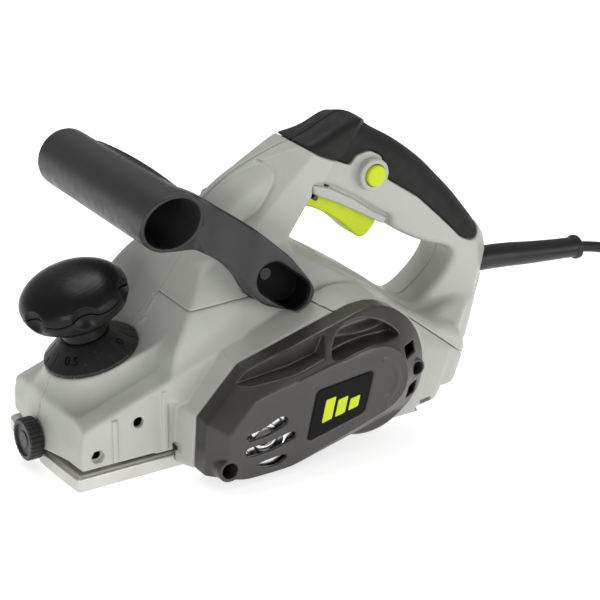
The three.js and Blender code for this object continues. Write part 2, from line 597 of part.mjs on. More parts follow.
// The cord's free stretch, from the sleeve's end down to the coil
const CORD_ROUTE = [
  [365.3, 0, 48.8], [371, 0, 47.7], [377.5, 0, 46.2], [384, 0, 44.4], [390.5, 0, 42], [397, 0, 38.7],
  [403, 0, 34.4], [409, 0, 29.2], [415, 0, 23.8], [421, 0, 18.6], [427, 0, 14], [433, 0, 10.3],
  [439, 0, 7.6], [445, 0, 5.9], [450, 0, 5.2],
];
const SLEEVE_ROUTE = [
  [284, 0, 57], [293, 0, 56.8], [310, 0, 55.2], [330, 0, 52.6], [350, 0, 50.4], [365, 0, 48.9],
];

function addCord() {
  const sleeve = tubeAlong(SLEEVE_ROUTE, 7, 14, 10);
  const collar = crossRod(0, 0, 7.8, -3.4, 0, 16);
  const collarTurn = new THREE.Matrix4().makeRotationY(THREE.MathUtils.degToRad(6));
  const placed = geometryOf(collar).applyMatrix4(collarTurn).translate(364.9, 0, 48.9);
  addPiece('strain_relief', sleeve.add(solidOf(placed)), SOFT_RUBBER);
  addPiece('cord', tubeAlong(CORD_ROUTE, CORD_RADIUS, 8, 16), BLACK_PLASTIC);
  const halfWidth = COIL.turnsAcross * CORD_RADIUS;
  const height = 2 * COIL.turnsHigh * CORD_RADIUS;
  const section = [
    [COIL.meanRadius - halfWidth, COIL.lift], [COIL.meanRadius + halfWidth, COIL.lift],
    [COIL.meanRadius + halfWidth, COIL.lift + height], [COIL.meanRadius - halfWidth, COIL.lift + height],
    [COIL.meanRadius - halfWidth, COIL.lift],
  ].map(([radius, level]) => new THREE.Vector2(radius, level));
  const coil = new THREE.LatheGeometry(section, 32).rotateX(Math.PI / 2).translate(COIL.x, COIL.y, 0);
  addPiece('cord_coil', solidOf(coil), BLACK_PLASTIC);
  addCoilTie(halfWidth, height);
  addPlug();
}

function addCoilTie(halfWidth, height) {
  const middle = COIL.x + COIL.meanRadius;
  const inner = halfWidth + TIE.clearance;
  const outer = inner + TIE.wall;
  const top = COIL.lift + height + TIE.clearance;
  const yRange = [COIL.y - TIE.halfLength, COIL.y + TIE.halfLength];
  const band = block([middle - outer, middle + outer], yRange, [TIE.bottom, top + TIE.wall]);
  const room = block([middle - inner, middle + inner], [-90, 0], [TIE.bottom + TIE.wall, top]);
  addPiece('cord_tie', band.subtract(room), BLACK_PLASTIC);
}

// Two-pin mains plug lying beside the coil, pins pointing back along -x
function addPlug() {
  const y = COIL.y - COIL.meanRadius - 2 * CORD_RADIUS;
  const z = COIL.lift + 3 * CORD_RADIUS;
  const rear = COIL.x - PLUG_ENTRY - GAP;
  const taper = new THREE.CylinderGeometry(5.6, 4.4, 24, 16);
  taper.rotateZ(Math.PI / 2).translate(rear - 12, y, z);
  const bodyShape = new THREE.Shape([
    [rear - 22, 7], [rear - 30, 16], [rear - 40, 18], [rear - 58, 18],
    [rear - 58, -18], [rear - 40, -18], [rear - 30, -16], [rear - 22, -7],
  ].map(([x, side]) => new THREE.Vector2(x, side)));
  const body = new THREE.ExtrudeGeometry(bodyShape, { depth: 19, bevelEnabled: false });
  body.translate(0, y, z - 9.5);
  const pins = [-9.5, 9.5].map((side) => crossRod(y + side, z, 2.4, rear - 77, rear - 57, 12));
  addPiece('plug', join(solidOf(taper), solidOf(body), ...pins), BLACK_PLASTIC);
}

addHousing();
addGrips();
addTrigger();
addShoe();
addSole();
addDepthKnob();
addDrum();
addBeltDrive();
addMotor();
addBeltCover();
addDustAdapter();
addGuideClamp();
addHousingScrews();
addCord();

export default planer;
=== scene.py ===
# Looks of the electric hand planer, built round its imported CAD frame.
# Shapes are worked out in millimetres in the nose frame (x from the tip of the front shoe,
# z from the sole) and turned into metres in the row frame when they become meshes.
import math

import bmesh
import bpy
import numpy as np
import openvdb
from mathutils import Matrix, Vector


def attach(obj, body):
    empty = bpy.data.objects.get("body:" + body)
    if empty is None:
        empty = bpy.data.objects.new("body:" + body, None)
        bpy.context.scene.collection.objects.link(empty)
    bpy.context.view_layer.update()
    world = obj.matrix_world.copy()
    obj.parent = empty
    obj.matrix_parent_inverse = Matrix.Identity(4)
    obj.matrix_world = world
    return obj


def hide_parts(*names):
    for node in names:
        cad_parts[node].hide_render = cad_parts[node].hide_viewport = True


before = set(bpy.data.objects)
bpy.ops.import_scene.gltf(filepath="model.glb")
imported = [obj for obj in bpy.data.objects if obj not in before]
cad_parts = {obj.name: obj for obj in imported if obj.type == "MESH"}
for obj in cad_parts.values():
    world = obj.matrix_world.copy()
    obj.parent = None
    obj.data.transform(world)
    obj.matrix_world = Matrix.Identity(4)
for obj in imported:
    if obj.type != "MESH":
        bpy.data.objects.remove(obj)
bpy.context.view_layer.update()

MM = 0.001
ORIGIN_X = 166.75
COARSE = 1.0

SOLE_HALF_WIDTH = 45
GAP = 0.3
DRUM = (92, 24.5)
MOTOR = (161.5, 41)
DIAL = (30.5, 57.7)
KNOB_TILT = math.radians(15.3)
HANDLE_HALF_WIDTH = 17.6
GRIP_THICKNESS = 2.5
BUTTON = (200.7, 133)
TUBE = (64, 136)
CORD_RADIUS = 3.3
COIL_CENTRE = (475, -42.9)
COIL_RADIUS = 36.3
COIL_LIFT = 1.8
COIL_STEP = 12
PLUG_REAR = 448.7
PLUG_HEIGHT = 11.7


def row(point):
    """A point of the nose frame, in metres in the row frame."""
    return Vector(((point[0] - ORIGIN_X) * MM, point[1] * MM, point[2] * MM))


def link(item):
    bpy.context.scene.collection.objects.link(item)


# ---- camera

CAMERA_ANGLES = (0.557681, 0.408957, 0.004348)
CAMERA_PLACE = (-0.6140736, -0.9795469, 0.5584834)
CAMERA_LENS = 132


def make_camera():
    yaw, pitch, roll = CAMERA_ANGLES
    forward = Vector((math.sin(yaw) * math.cos(pitch), math.cos(yaw) * math.cos(pitch), -math.sin(pitch)))
    level = Vector((math.cos(yaw), -math.sin(yaw), 0))
    upright = level.cross(forward)
    right = level * math.cos(roll) + upright * math.sin(roll)
    up = upright * math.cos(roll) - level * math.sin(roll)
    data = bpy.data.cameras.new("camera")
    data.lens = CAMERA_LENS
    data.sensor_width = 36
    data.clip_start = 0.05
    camera = bpy.data.objects.new("camera", data)
    turn = Matrix((right, up, -forward)).transposed().to_4x4()
    camera.matrix_world = Matrix.Translation(CAMERA_PLACE) @ turn
    link(camera)
    bpy.context.scene.camera = camera


make_camera()


# ---- cord

CORD_ROUTE = [
    (365.3, 0, 48.8), (371, 0, 47.7), (377.5, 0, 46.2), (384, 0, 44.4), (390.5, 0, 42), (397, 0, 38.7),
    (403, 0, 34.4), (409, 0, 29.2), (415, 0, 23.8), (421, 0, 18.6), (427, 0, 14), (433, 0, 10.3),
    (439, 0, 7.6), (445, 0, 5.9), (450, 0, 5.3),
]
# Slots of the coil that its turns fill, as (ring from the middle, layer), in order from the object
COIL_TURNS = [(1, 0), (0, 0), (-1, 0), (-1, 1), (-1, 2), (0, 2), (1, 2), (1, 1)]
# Where each turn moves over to the next slot, in degrees from its start; later turns move first
COIL_MOVES = [(300, 358), (300, 358), (242, 298), (242, 298), (212, 262), (212, 262), (182, 232)]


def coil_points():
    """The coil's turns, clockwise from above, from its +y side round to its -y side on the last turn."""
    points = []
    for turn, (ring, layer) in enumerate(COIL_TURNS):
        last = turn == len(COIL_TURNS) - 1
        for angle in range(0, 180 if last else 360, COIL_STEP):
            share = 0.0
            ring_to, layer_to = ring, layer
            if not last:
                start, end = COIL_MOVES[turn]
                ring_to, layer_to = COIL_TURNS[turn + 1]
                share = min(max((angle - start) / (end - start), 0), 1)
                share = (1 - math.cos(share * math.pi)) / 2
            radius = COIL_RADIUS + 2 * CORD_RADIUS * (ring + (ring_to - ring) * share)
            height = COIL_LIFT + CORD_RADIUS * (1 + 2 * (layer + (layer_to - layer) * share))
            bearing = math.radians(90 - angle)
            points.append((
                COIL_CENTRE[0] + radius * math.cos(bearing),
                COIL_CENTRE[1] + radius * math.sin(bearing),
                height,
            ))
    return points


def make_cord():
    outer = COIL_RADIUS + 2 * CORD_RADIUS
    lead_in = [(456, 0, 5.15), (463, 0, 5.1), (469, 0, 5.1)]
    tail_y = COIL_CENTRE[1] - outer
    lead_out = [(475, tail_y, PLUG_HEIGHT), (468, tail_y, PLUG_HEIGHT), (460, tail_y, PLUG_HEIGHT),
                (454, tail_y, PLUG_HEIGHT), (PLUG_REAR - 8, tail_y, PLUG_HEIGHT)]
    points = CORD_ROUTE + lead_in + coil_points() + lead_out
    curve = bpy.data.curves.new("mains_cord", "CURVE")
    curve.dimensions = "3D"
    spline = curve.splines.new("NURBS")
    spline.points.add(len(points) - 1)
    for place, point in zip(spline.points, points):
        place.co = (*row(point), 1)
        place.radius = CORD_RADIUS * MM
    spline.order_u = 4
    spline.use_endpoint_u = True
    spline.resolution_u = 4
    curve.bevel_depth = 1
    curve.bevel_resolution = 5
    curve.use_fill_caps = True
    cord = bpy.data.objects.new("mains_cord", curve)
    link(cord)
    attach(cord, "housing")
    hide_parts("cord", "cord_coil")
    return cord


mains_cord = make_cord()


# ---- shapes as signed distances

FAR = 1e9


class Field:
    """A box of sample points, in millimetres, on which a shape is a signed distance, negative inside."""

    def __init__(self, low, high, step):
        self.step = step * COARSE
        self.low = np.array(low, float)
        counts = [int(math.ceil((b - a) / self.step)) + 1 for a, b in zip(low, high)]
        axes = [a + self.step * np.arange(n) for a, n in zip(low, counts)]
        self.x, self.y, self.z = (v.astype(np.float32) for v in np.ix_(*axes))

    def window(self, low, high):
        """The part of the field between two corners, with its place in the whole."""
        part = object.__new__(Field)
        part.step = self.step
        part.place = tuple(
            slice(max(0, int((a - o) / self.step)), max(0, int(math.ceil((b - o) / self.step)) + 1))
            for a, b, o in zip(low, high, self.low)
        )
        part.x = self.x[part.place[0]]
        part.y = self.y[:, part.place[1]]
        part.z = self.z[:, :, part.place[2]]
        return part


def either(a, b, soft=0.0):
    if not soft:
        return np.minimum(a, b)
    near = np.maximum(soft - np.abs(a - b), 0)
    return np.minimum(a, b) - near * near / (4 * soft)


def both(a, b, soft=0.0):
    return -either(-a, -b, soft)


def without(a, b, soft=0.0):
    return both(a, -b, soft)


def stamp(field, values, low, high, shape, combine, soft=0.0):
    """Joins a small shape to the values, or cuts it from them, inside one window."""
    part = field.window(low, high)
    if 0 in (part.x.size, part.y.size, part.z.size):
        return
    values[part.place] = combine(values[part.place], shape(part), soft)


def corner(a, b, edge):
    """What lies inside both distances, with its edge rounded."""
    a = a + edge
    b = b + edge
    outside = np.sqrt(np.maximum(a, 0) ** 2 + np.maximum(b, 0) ** 2)
    return outside + np.minimum(np.maximum(a, b), 0) - edge


def segment_square(px, pz, a, b):
    """Squared distance to the straight piece from a to b."""
    (ax, az), (bx, bz) = a, b
    ex, ez = bx - ax, bz - az
    share = np.clip(((px - ax) * ex + (pz - az) * ez) / (ex * ex + ez * ez), 0, 1)
    return (px - ax - ex * share) ** 2 + (pz - az - ez * share) ** 2


def polygon(px, pz, points):
    """Signed distance to a closed outline."""
    nearest = np.full(np.broadcast(px, pz).shape, FAR, np.float32)
    inside = np.zeros(nearest.shape, bool)
    for a, b in zip(points, list(points[1:]) + [points[0]]):
        nearest = np.minimum(nearest, segment_square(px, pz, a, b))
        (ax, az), (bx, bz) = a, b
        if abs(bz - az) > 1e-9:
            inside ^= ((az <= pz) != (bz <= pz)) & (px < ax + (pz - az) * (bx - ax) / (bz - az))
    return np.where(inside, -1, 1).astype(np.float32) * np.sqrt(nearest)


def line_distance(px, pz, points):
    """Distance to an open line of points."""
    nearest = np.full(np.broadcast(px, pz).shape, FAR, np.float32)
    for a, b in zip(points, points[1:]):
        nearest = np.minimum(nearest, segment_square(px, pz, a, b))
    return np.sqrt(nearest)


def rounded(points, reach, steps=4):
    """An outline with each corner turned into a short curve that starts and ends at reach from it."""
    made = []
    for index, here in enumerate(points):
        here = np.array(here, float)
        ends = []
        for other in (points[index - 1], points[(index + 1) % len(points)]):
            way = np.array(other, float) - here
            ends.append(here + way * min(0.48, reach / np.linalg.norm(way)))
        for step in range(steps + 1):
            t = step / steps
            made.append(tuple((1 - t) ** 2 * ends[0] + 2 * t * (1 - t) * here + t * t * ends[1]))
    return made


def smooth_line(points, steps=5):
    """An open line through the points, as a Catmull-Rom curve."""
    ends = [np.array(p, float) for p in [points[0], *points, points[-1]]]
    made = []
    for a, b, c, d in zip(ends, ends[1:], ends[2:], ends[3:]):
        for step in range(steps):
            t = step / steps
            made.append(tuple(0.5 * (2 * b + (c - a) * t + (2 * a - 5 * b + 4 * c - d) * t * t
                                     + (3 * b - a - 3 * c + d) * t ** 3)))
    made.append(tuple(points[-1]))
    return made


def between(values, low, high):
    return np.abs(values - (low + high) / 2) - (high - low) / 2


def flat(f, outline):
    """Distance to an outline in x and z, over the whole field."""
    return polygon(f.x, f.z, outline) + 0 * f.y


def prism(f, outline, y_low, y_high, edge=0.6):
    return corner(polygon(f.x, f.z, outline), between(f.y, y_low, y_high), edge)


def rod(f, x, z, radius, y_low, y_high, edge=0.4):
    return corner(np.hypot(f.x - x, f.z - z) - radius, between(f.y, y_low, y_high), edge)


def rod_x(f, y, z, radius, x_low, x_high, edge=0.4):
    return corner(np.hypot(f.y - y, f.z - z) - radius, between(f.x, x_low, x_high), edge)


def rod_z(f, x, y, radius, z_low, z_high, edge=0.3):
    return corner(np.hypot(f.x - x, f.y - y) - radius, between(f.z, z_low, z_high), edge)


def block(f, low, high, edge=0.4):
    sides = [between(values, a, b) + edge for values, a, b in zip((f.x, f.y, f.z), low, high)]
    outside = np.sqrt(sum(np.maximum(s, 0) ** 2 for s in sides))
    inside = np.minimum(np.maximum(np.maximum(sides[0], sides[1]), sides[2]), 0)
    return outside + inside - edge


def hull(f, points, soft):
    """Convex body round the points."""
    bm = bmesh.new()
    for point in points:
        bm.verts.new(point)
    bmesh.ops.convex_hull(bm, input=bm.verts)
    centre = sum((Vector(p) for p in points), Vector()) / len(points)
    planes = []
    for face in bm.faces:
        normal = face.normal.copy()
        at = face.verts[0].co
        if normal.dot(at - centre) < 0:
            normal.negate()
        key = (round(normal.x, 2), round(normal.y, 2), round(normal.z, 2), round(normal.dot(at), 1))
        if normal.length > 0.5 and key not in planes:
            planes.append(key)
            distance = normal.x * f.x + normal.y * f.y + normal.z * f.z - normal.dot(at)
            whole = distance if len(planes) == 1 else both(whole, distance, soft)
    bm.free()
    return whole


def revolve(f, profile):
    """The profile of (radius, height) turned about the field's own z axis."""
    cell = 0.2
    reach = np.hypot(f.x, f.y)
    radii = np.arange(0, float(reach.max()) + 2 * cell, cell, dtype=np.float32)
    table = polygon(radii[:, None], f.z.reshape(1, -1), profile)
    index = (reach[:, :, 0] / cell).astype(int)
    share = (reach / cell - index[:, :, None]).astype(np.float32)
    return table[index] * (1 - share) + table[index + 1] * share


def smoothstep(value, start, end):
    share = np.clip((value - start) / (end - start), 0, 1)
    return share * share * (3 - 2 * share)


# ---- meshes

def keep_large_parts(points, quads):
    """Leaves out specks that a thin edge may shed."""
    label = np.arange(len(points))
    ends = np.concatenate([quads[:, [0, 1]], quads[:, [1, 2]], quads[:, [2, 3]]])
    while True:
        low = np.minimum(label[ends[:, 0]], label[ends[:, 1]])
        new = label.copy()
        np.minimum.at(new, ends[:, 0], low)
        np.minimum.at(new, ends[:, 1], low)
        new = new[new]
        if (new == label).all():
            break
        label = new
    names, counts = np.unique(label[quads[:, 0]], return_counts=True)
    large = names[counts > max(60, 0.01 * counts.sum())]
    quads = quads[np.isin(label[quads[:, 0]], large)]
    used, inverse = np.unique(quads, return_inverse=True)
    return points[used], inverse.reshape(quads.shape)


def mesh_object(name, points, faces, smooth=True):
    """An object from an array of points in metres and an array of faces with equal corner counts."""
    mesh = bpy.data.meshes.new(name)
    corners = faces.shape[1]
    mesh.vertices.add(len(points))
    mesh.vertices.foreach_set("co", np.ascontiguousarray(points, np.float32).ravel())
    mesh.loops.add(faces.size)
    mesh.loops.foreach_set("vertex_index", np.ascontiguousarray(faces, np.int32).ravel())
    mesh.polygons.add(len(faces))
    mesh.polygons.foreach_set("loop_start", np.arange(0, faces.size, corners, dtype=np.int32))
    mesh.polygons.foreach_set("use_smooth", np.full(len(faces), smooth))
    mesh.update(calc_edges=True)
    mesh.validate()
    piece = bpy.data.objects.new(name, mesh)
    link(piece)
    return piece


def carve(name, field, values, place=None):
    """The surface of a field as a mesh object. place turns the field's own frame into the nose frame."""
    band = 3 * field.step
    grid = openvdb.FloatGrid(band)
    grid.copyFromArray(np.clip(values, -band, band).astype(np.float32))
    points, quads = grid.convertToQuads()
    points, quads = keep_large_parts(points * field.step + field.low, quads.astype(np.int64))
    if place is not None:
        turn = np.array(place.to_3x3())
        points = points @ turn.T + np.array(place.translation)
    points = (points - (ORIGIN_X, 0, 0)) * MM
    return mesh_object(name, points, quads)


def place_piece(piece, body, slot, finish, *nodes):
    """Gives a mesh its finish, the body it rides and the CAD nodes it stands for."""
    piece.data.materials.clear()
    piece.data.materials.append(finish)
    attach(piece, body)
    if nodes:
        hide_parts(*nodes)
    return piece


def build(name, field, values, body, slot, finish, *nodes, place=None):
    return place_piece(carve(name, field, values, place), body, slot, finish, *nodes)


# ---- materials

def settle(node, values):
    for socket, value in values.items():
        node.inputs[socket].default_value = value


MOTTLE_SIZE = 0.02
FLECK_SIZE = 0.0022
GLOSS_SIZE = 0.006
STREAK_SIZE = 0.0015


def surface(name, colour, roughness, metallic=0.0, mottle=0.05, grain=0.05, grain_size=0.0008, wear=0.15,
            streaks=0.0, sheen=0.0, specular=0.5):
    """A moulded, cast or machined surface: uneven colour, handled edges, fine grain, uneven gloss."""
    made = bpy.data.materials.new(name)
    made.use_nodes = True
    nodes, links = made.node_tree.nodes, made.node_tree.links
    shader = nodes["Principled BSDF"]
    settle(shader, {"Metallic": metallic, "Specular IOR Level": specular, "Sheen Weight": sheen})
    place = nodes.new("ShaderNodeTexCoord")

    def noise(size, detail, stretch=(1, 1, 1)):
        mapping = nodes.new("ShaderNodeMapping")
        settle(mapping, {"Scale": stretch})
        texture = nodes.new("ShaderNodeTexNoise")
        settle(texture, {"Scale": 1 / size, "Detail": detail})
        links.new(place.outputs["Object"], mapping.inputs["Vector"])
        links.new(mapping.outputs["Vector"], texture.inputs["Vector"])
        return texture.outputs["Fac"]

    def mix(factor, first, second):
        node = nodes.new("ShaderNodeMix")
        node.data_type = "RGBA"
        links.new(factor, node.inputs["Factor"])
        for value, socket in ((first, node.inputs[6]), (second, node.inputs[7])):
            if isinstance(value, bpy.types.NodeSocket):
                links.new(value, socket)
            else:
                socket.default_value = (*value, 1)
        return node.outputs[2]

    def spread(value, low, high, to_low, to_high):
        node = nodes.new("ShaderNodeMapRange")
        settle(node, {"From Min": low, "From Max": high, "To Min": to_low, "To Max": to_high})
        links.new(value, node.inputs["Value"])
        return node.outputs["Result"]

    dark = [c * (1 - mottle) for c in colour]
    light = [min(1, c * (1 + mottle)) for c in colour]
    patches = mix(spread(noise(MOTTLE_SIZE, 4), 0.3, 0.7, 0, 1), dark, light)
    flecks = mix(spread(noise(FLECK_SIZE, 2), 0.62, 0.75, 0, mottle * 2), patches, [c * 0.6 for c in colour])
    geometry = nodes.new("ShaderNodeNewGeometry")
    edges = spread(geometry.outputs["Pointiness"], 0.52, 0.6, 0, wear)
    worn = mix(edges, flecks, [min(1, c * 1.4 + 0.03) for c in colour])
    links.new(worn, shader.inputs["Base Color"])
    stretch = (1, 1, 1) if not streaks else (0.05, 1, 1)
    patch = noise(STREAK_SIZE if streaks else GLOSS_SIZE, 3, stretch)
    gloss = spread(patch, 0.3, 0.7, roughness - 0.07, roughness + 0.07)
    links.new(gloss, shader.inputs["Roughness"])
    bump = nodes.new("ShaderNodeBump")
    settle(bump, {"Strength": 0.6, "Distance": grain * MM})
    links.new(noise(grain_size, 3, stretch), bump.inputs["Height"])
    links.new(bump.outputs["Normal"], shader.inputs["Normal"])
    return made


GREY_SHELL = surface("grey_shell", (0.475, 0.485, 0.445), 0.42, mottle=0.03, grain=0.03, wear=0.1)
COVER_PLASTIC = surface("cover_plastic", (0.034, 0.031, 0.029), 0.38, mottle=0.12, grain=0.06, wear=0.12,
                        specular=0.62)
ADAPTER_PLASTIC = surface("adapter_plastic", (0.026, 0.025, 0.026), 0.4, mottle=0.1, grain=0.05, wear=0.12,
                          specular=0.45)
BLACK_PLASTIC = surface("black_plastic", (0.013, 0.012, 0.012), 0.38, mottle=0.12, grain=0.04, wear=0.1,
                        specular=0.4)
SOFT_RUBBER = surface("soft_rubber", (0.010, 0.0095, 0.009), 0.6, mottle=0.12, grain=0.12, grain_size=0.0005,
                      wear=0.08, sheen=0.02, specular=0.28)
KNOB_PLASTIC = surface("knob_plastic", (0.007, 0.006, 0.006), 0.32, mottle=0.12, grain=0.03, wear=0.1,
                       specular=0.2)
CORD_RUBBER = surface("cord_rubber", (0.012, 0.012, 0.012), 0.5, mottle=0.1, grain=0.06, wear=0.05,
                      specular=0.4)
LIME = surface("lime_plastic", (0.57, 0.69, 0.006), 0.38, specular=0.35, mottle=0.04, grain=0.03, wear=0.15)
CAST = surface("cast_aluminium", (0.62, 0.61, 0.58), 0.42, metallic=0.85, mottle=0.08, grain=0.15,
               grain_size=0.0012, wear=0.3)
STEEL = surface("machined_steel", (0.42, 0.42, 0.43), 0.3, metallic=1, mottle=0.12, grain=0.02,
                grain_size=0.0006, streaks=1, wear=0.3)
BRIGHT_STEEL = surface("bright_steel", (0.75, 0.75, 0.76), 0.2, metallic=1, mottle=0.06, grain=0.02,
                       grain_size=0.0005, streaks=1, wear=0.2)
COPPER = surface("copper", (0.65, 0.27, 0.12), 0.32, metallic=1, mottle=0.15, grain=0.03, streaks=1)
CARBON = surface("carbon", (0.03, 0.03, 0.032), 0.75, mottle=0.2, grain=0.1)
# Near-black label finish, used for the badge plate and also for the painted shade sheet inside the dust
# socket.
LABEL_AND_PAINTED_SHADE = surface("label", (0.006, 0.006, 0.006), 0.5, mottle=0.1, grain=0.01, wear=0.05, specular=0.1)
DARK_STEEL = surface("dark_steel", (0.06, 0.06, 0.062), 0.4, metallic=1, mottle=0.15, grain=0.04, wear=0.2)
DIAL_INK = surface("dial_ink", (0.002, 0.002, 0.002), 0.5, mottle=0.15, grain=0.03, wear=0, specular=0.15)

mains_cord.data.materials.append(CORD_RUBBER)


# ---- housing

NOSE_AND_TAIL = [
    (60, -14), (60, 60), (90, 70), (130, 77), (175, 78), (198, 68), (225, 52), (250, 41), (254, 24),
    (240, -14),
]
HUMP = [
    (52, 40), (58, 66), (70.4, 83), (87, 101.6), (118, 106), (150, 102), (177, 84), (198, 70), (205, 40),
]
BELT_BASE = [
    (58.5, 5.5), (61, 36), (86, 61), (126, 72), (157, 80), (176, 79), (193, 69), (206, 52),
    (212, 28), (206, 1.5), (125, 1.5), (112, 3),
]
HANDLE = [
    (78, 84), (88, 103), (99, 131.5), (116, 143), (132, 150), (150, 155.5), (158.6, 157), (165, 159),
    (176, 163.6), (186.8, 168), (195.7, 165.8), (203, 160.6), (208, 156.5), (220.6, 149), (231, 141.5),
    (244, 130.5), (262.4, 110.7), (278.8, 88.7), (286.5, 77.5), (290.5, 69), (292.5, 60), (289, 49),
    (283, 35), (278, 21), (274, 10), (250, 10), (200, 40), (150, 70),
]
HAND_HOLE = [
    (145.5, 103.8), (155.5, 120), (164.5, 130.5), (190, 116), (212, 101), (218.5, 95), (230, 88), (241, 82.5),
    (252, 79), (257.5, 75.5), (258, 71.5), (254.5, 64.5), (247.5, 57), (239.5, 51), (231.5, 45.2),
    (222, 50.5), (198, 69), (177, 83.4), (155, 97),
]
GRIP_ZONE = [
    (134, 168), (146, 162), (156, 156.6), (164.3, 151), (176.8, 145.2), (188, 139.8), (191, 145),
    (200.7, 146.5), (209, 141.5), (212, 127.5), (234.2, 112), (248.7, 97.5), (263.5, 82), (271, 78.5),
    (277, 80),
    (285, 95), (240, 170), (150, 185),
]
NECK_ZONE = [
    (40, 60), (40, 200), (206, 200), (206, 157.5), (190.5, 155.5), (175.5, 145.7), (165.9, 132.9),
    (141.2, 102.5), (110, 60),
]
SEAM = [(40, 84), (125, 85), (206, 56), (266, 7)]
SCREW_PLACES = [(112, 128), (266, 72), (266, 40)]
COVER_SCREWS = [(68.7, 12.6), (192.3, 39.2)]
NECK_OVAL = [(96, 135), (109.5, 143), (118, 147.8), (126, 150.5), (132.5, 149.8), (137, 147.5),
             (138.5, 143.6), (137, 139), (133.5, 134), (126.5, 126), (117.3, 120.5)]
LEDGE = [(162, 133), (175, 128.5), (190, 119.5), (204, 109), (213.5, 103.5), (210.5, 100), (195, 109.6),
         (180, 118.5), (164, 126.6)]


def nose(f):
    """The front block: a sloping shoulder all round and the higher seat of the depth dial."""
    reach = np.abs(f.y)
    front = -1.2 + np.where(f.y < 0, 0.04, 0.1) * reach + 0.14 * np.maximum(f.z - 21, 0) - f.x
    sides = corner(np.maximum(front, f.x - 100), reach - SOLE_HALF_WIDTH, 1.6)
    rise = 0.32 * np.minimum(SOLE_HALF_WIDTH - reach, 10) - 4 * smoothstep(f.y, 5, 40)
    shoulder = (f.z - 33.8 - 0.34 * f.x - rise) * 0.92
    block_top = both(sides, shoulder, 2.2)
    plateau = (f.z - DIAL[1] - math.tan(KNOB_TILT) * (f.x - DIAL[0])) * math.cos(KNOB_TILT)
    behind = np.maximum(f.x - DIAL[0], 0)
    plan = np.hypot(np.minimum(f.x - DIAL[0], 0), f.y) - 25.5 + 0.02 * behind
    seat = both((plan + 0.3 * plateau) * 0.95, plateau, 1.2)
    return both(either(block_top, both(seat, f.x - 100), 9), 11.3 - f.z)


def flanks(f, half_width, soft=9):
    """Leaning side walls of the hump, out to half_width at the height of the shoulder."""
    reach = np.abs(f.y)
    low = (reach - half_width + 0.28 * (f.z - 69)) / 1.04
    high = (reach - half_width + 4.5 + 0.95 * (f.z - 85)) / 1.38
    return both(low, high, soft)


def hump(f):
    outline = rounded(HUMP, 7)
    body = prism(f, outline, -60, 60, 2)
    fuller = prism(f, [(x - 7, z + 0.5) for x, z in outline], 24, 60, 7)
    right = both(f.y - 50 + 0.06 * (f.z - 69), (f.y - 46 + 0.8 * (f.z - 97)) / 1.28, 8)
    left = both(body, flanks(f, 42), 3)
    return np.where(f.y < 0, left, both(either(body, fuller, 10), right, 8))


def prow(f):
    """The tail behind the rear sole, coming to a blunt point under the rear strut."""
    points = []
    for side, less in ((-1, 0), (1, 12)):
        points += [
            (200, side * (58 - less), 1.5), (223.5, side * (53 - less), 1.5), (265, side * 8, 1.5),
            (205, side * (50 - less / 2), 46 - less), (238.5, side * (48 - less / 2), 28),
            (275, side * 10, 30), (232, side * 16, 46), (280, side * 9, 46),
        ]
    return hull(f, points, 3)


def pad_end(f):
    """Distance past the slanting step where the wide front of the handle ends."""
    return (f.x - 205 + np.abs(f.y) + 0.6 * (158 - f.z)) * 0.65


def whole_handle(f):
    """The loop of the handle without its hole: a roof-shaped neck in front, a round bar behind it."""
    outline = rounded(HANDLE, 7)
    width = HANDLE_HALF_WIDTH - 3.2 * smoothstep(f.z, 90, 122) + 0 * f.x
    side = polygon(f.x, f.z, outline)
    bar = corner(side, np.abs(f.y) - width, 13.5)
    reach = np.abs(f.y)
    beyond_ridge = 0.737 * (f.z - 150) - 0.677 * (f.x - 159)
    roof = (reach - 19.4 + 0.68 * beyond_ridge) / 1.21
    rear = both(flat(f, NECK_ZONE), pad_end(f), 1.5)
    crown = side + 0.24 * np.maximum(f.y - 2, 0) * smoothstep(f.x, 155, 176)
    neck = both(both(corner(crown, reach - 19, 6), roof, 0.8), rear, 0.8)
    slant = 0.667 * (f.x + 0.2 * np.maximum(60 - f.z, 0)) + 0.744 * reach - 197
    return both(either(bar, neck, 1.5), slant, 1.5)


def grip_skin(f, handle, clearance):
    """Where the soft grips lie on the handle, a little larger or smaller by the clearance."""
    zone = flat(f, rounded(GRIP_ZONE, 3)) - clearance
    return both(zone, -(handle + GRIP_THICKNESS + clearance))


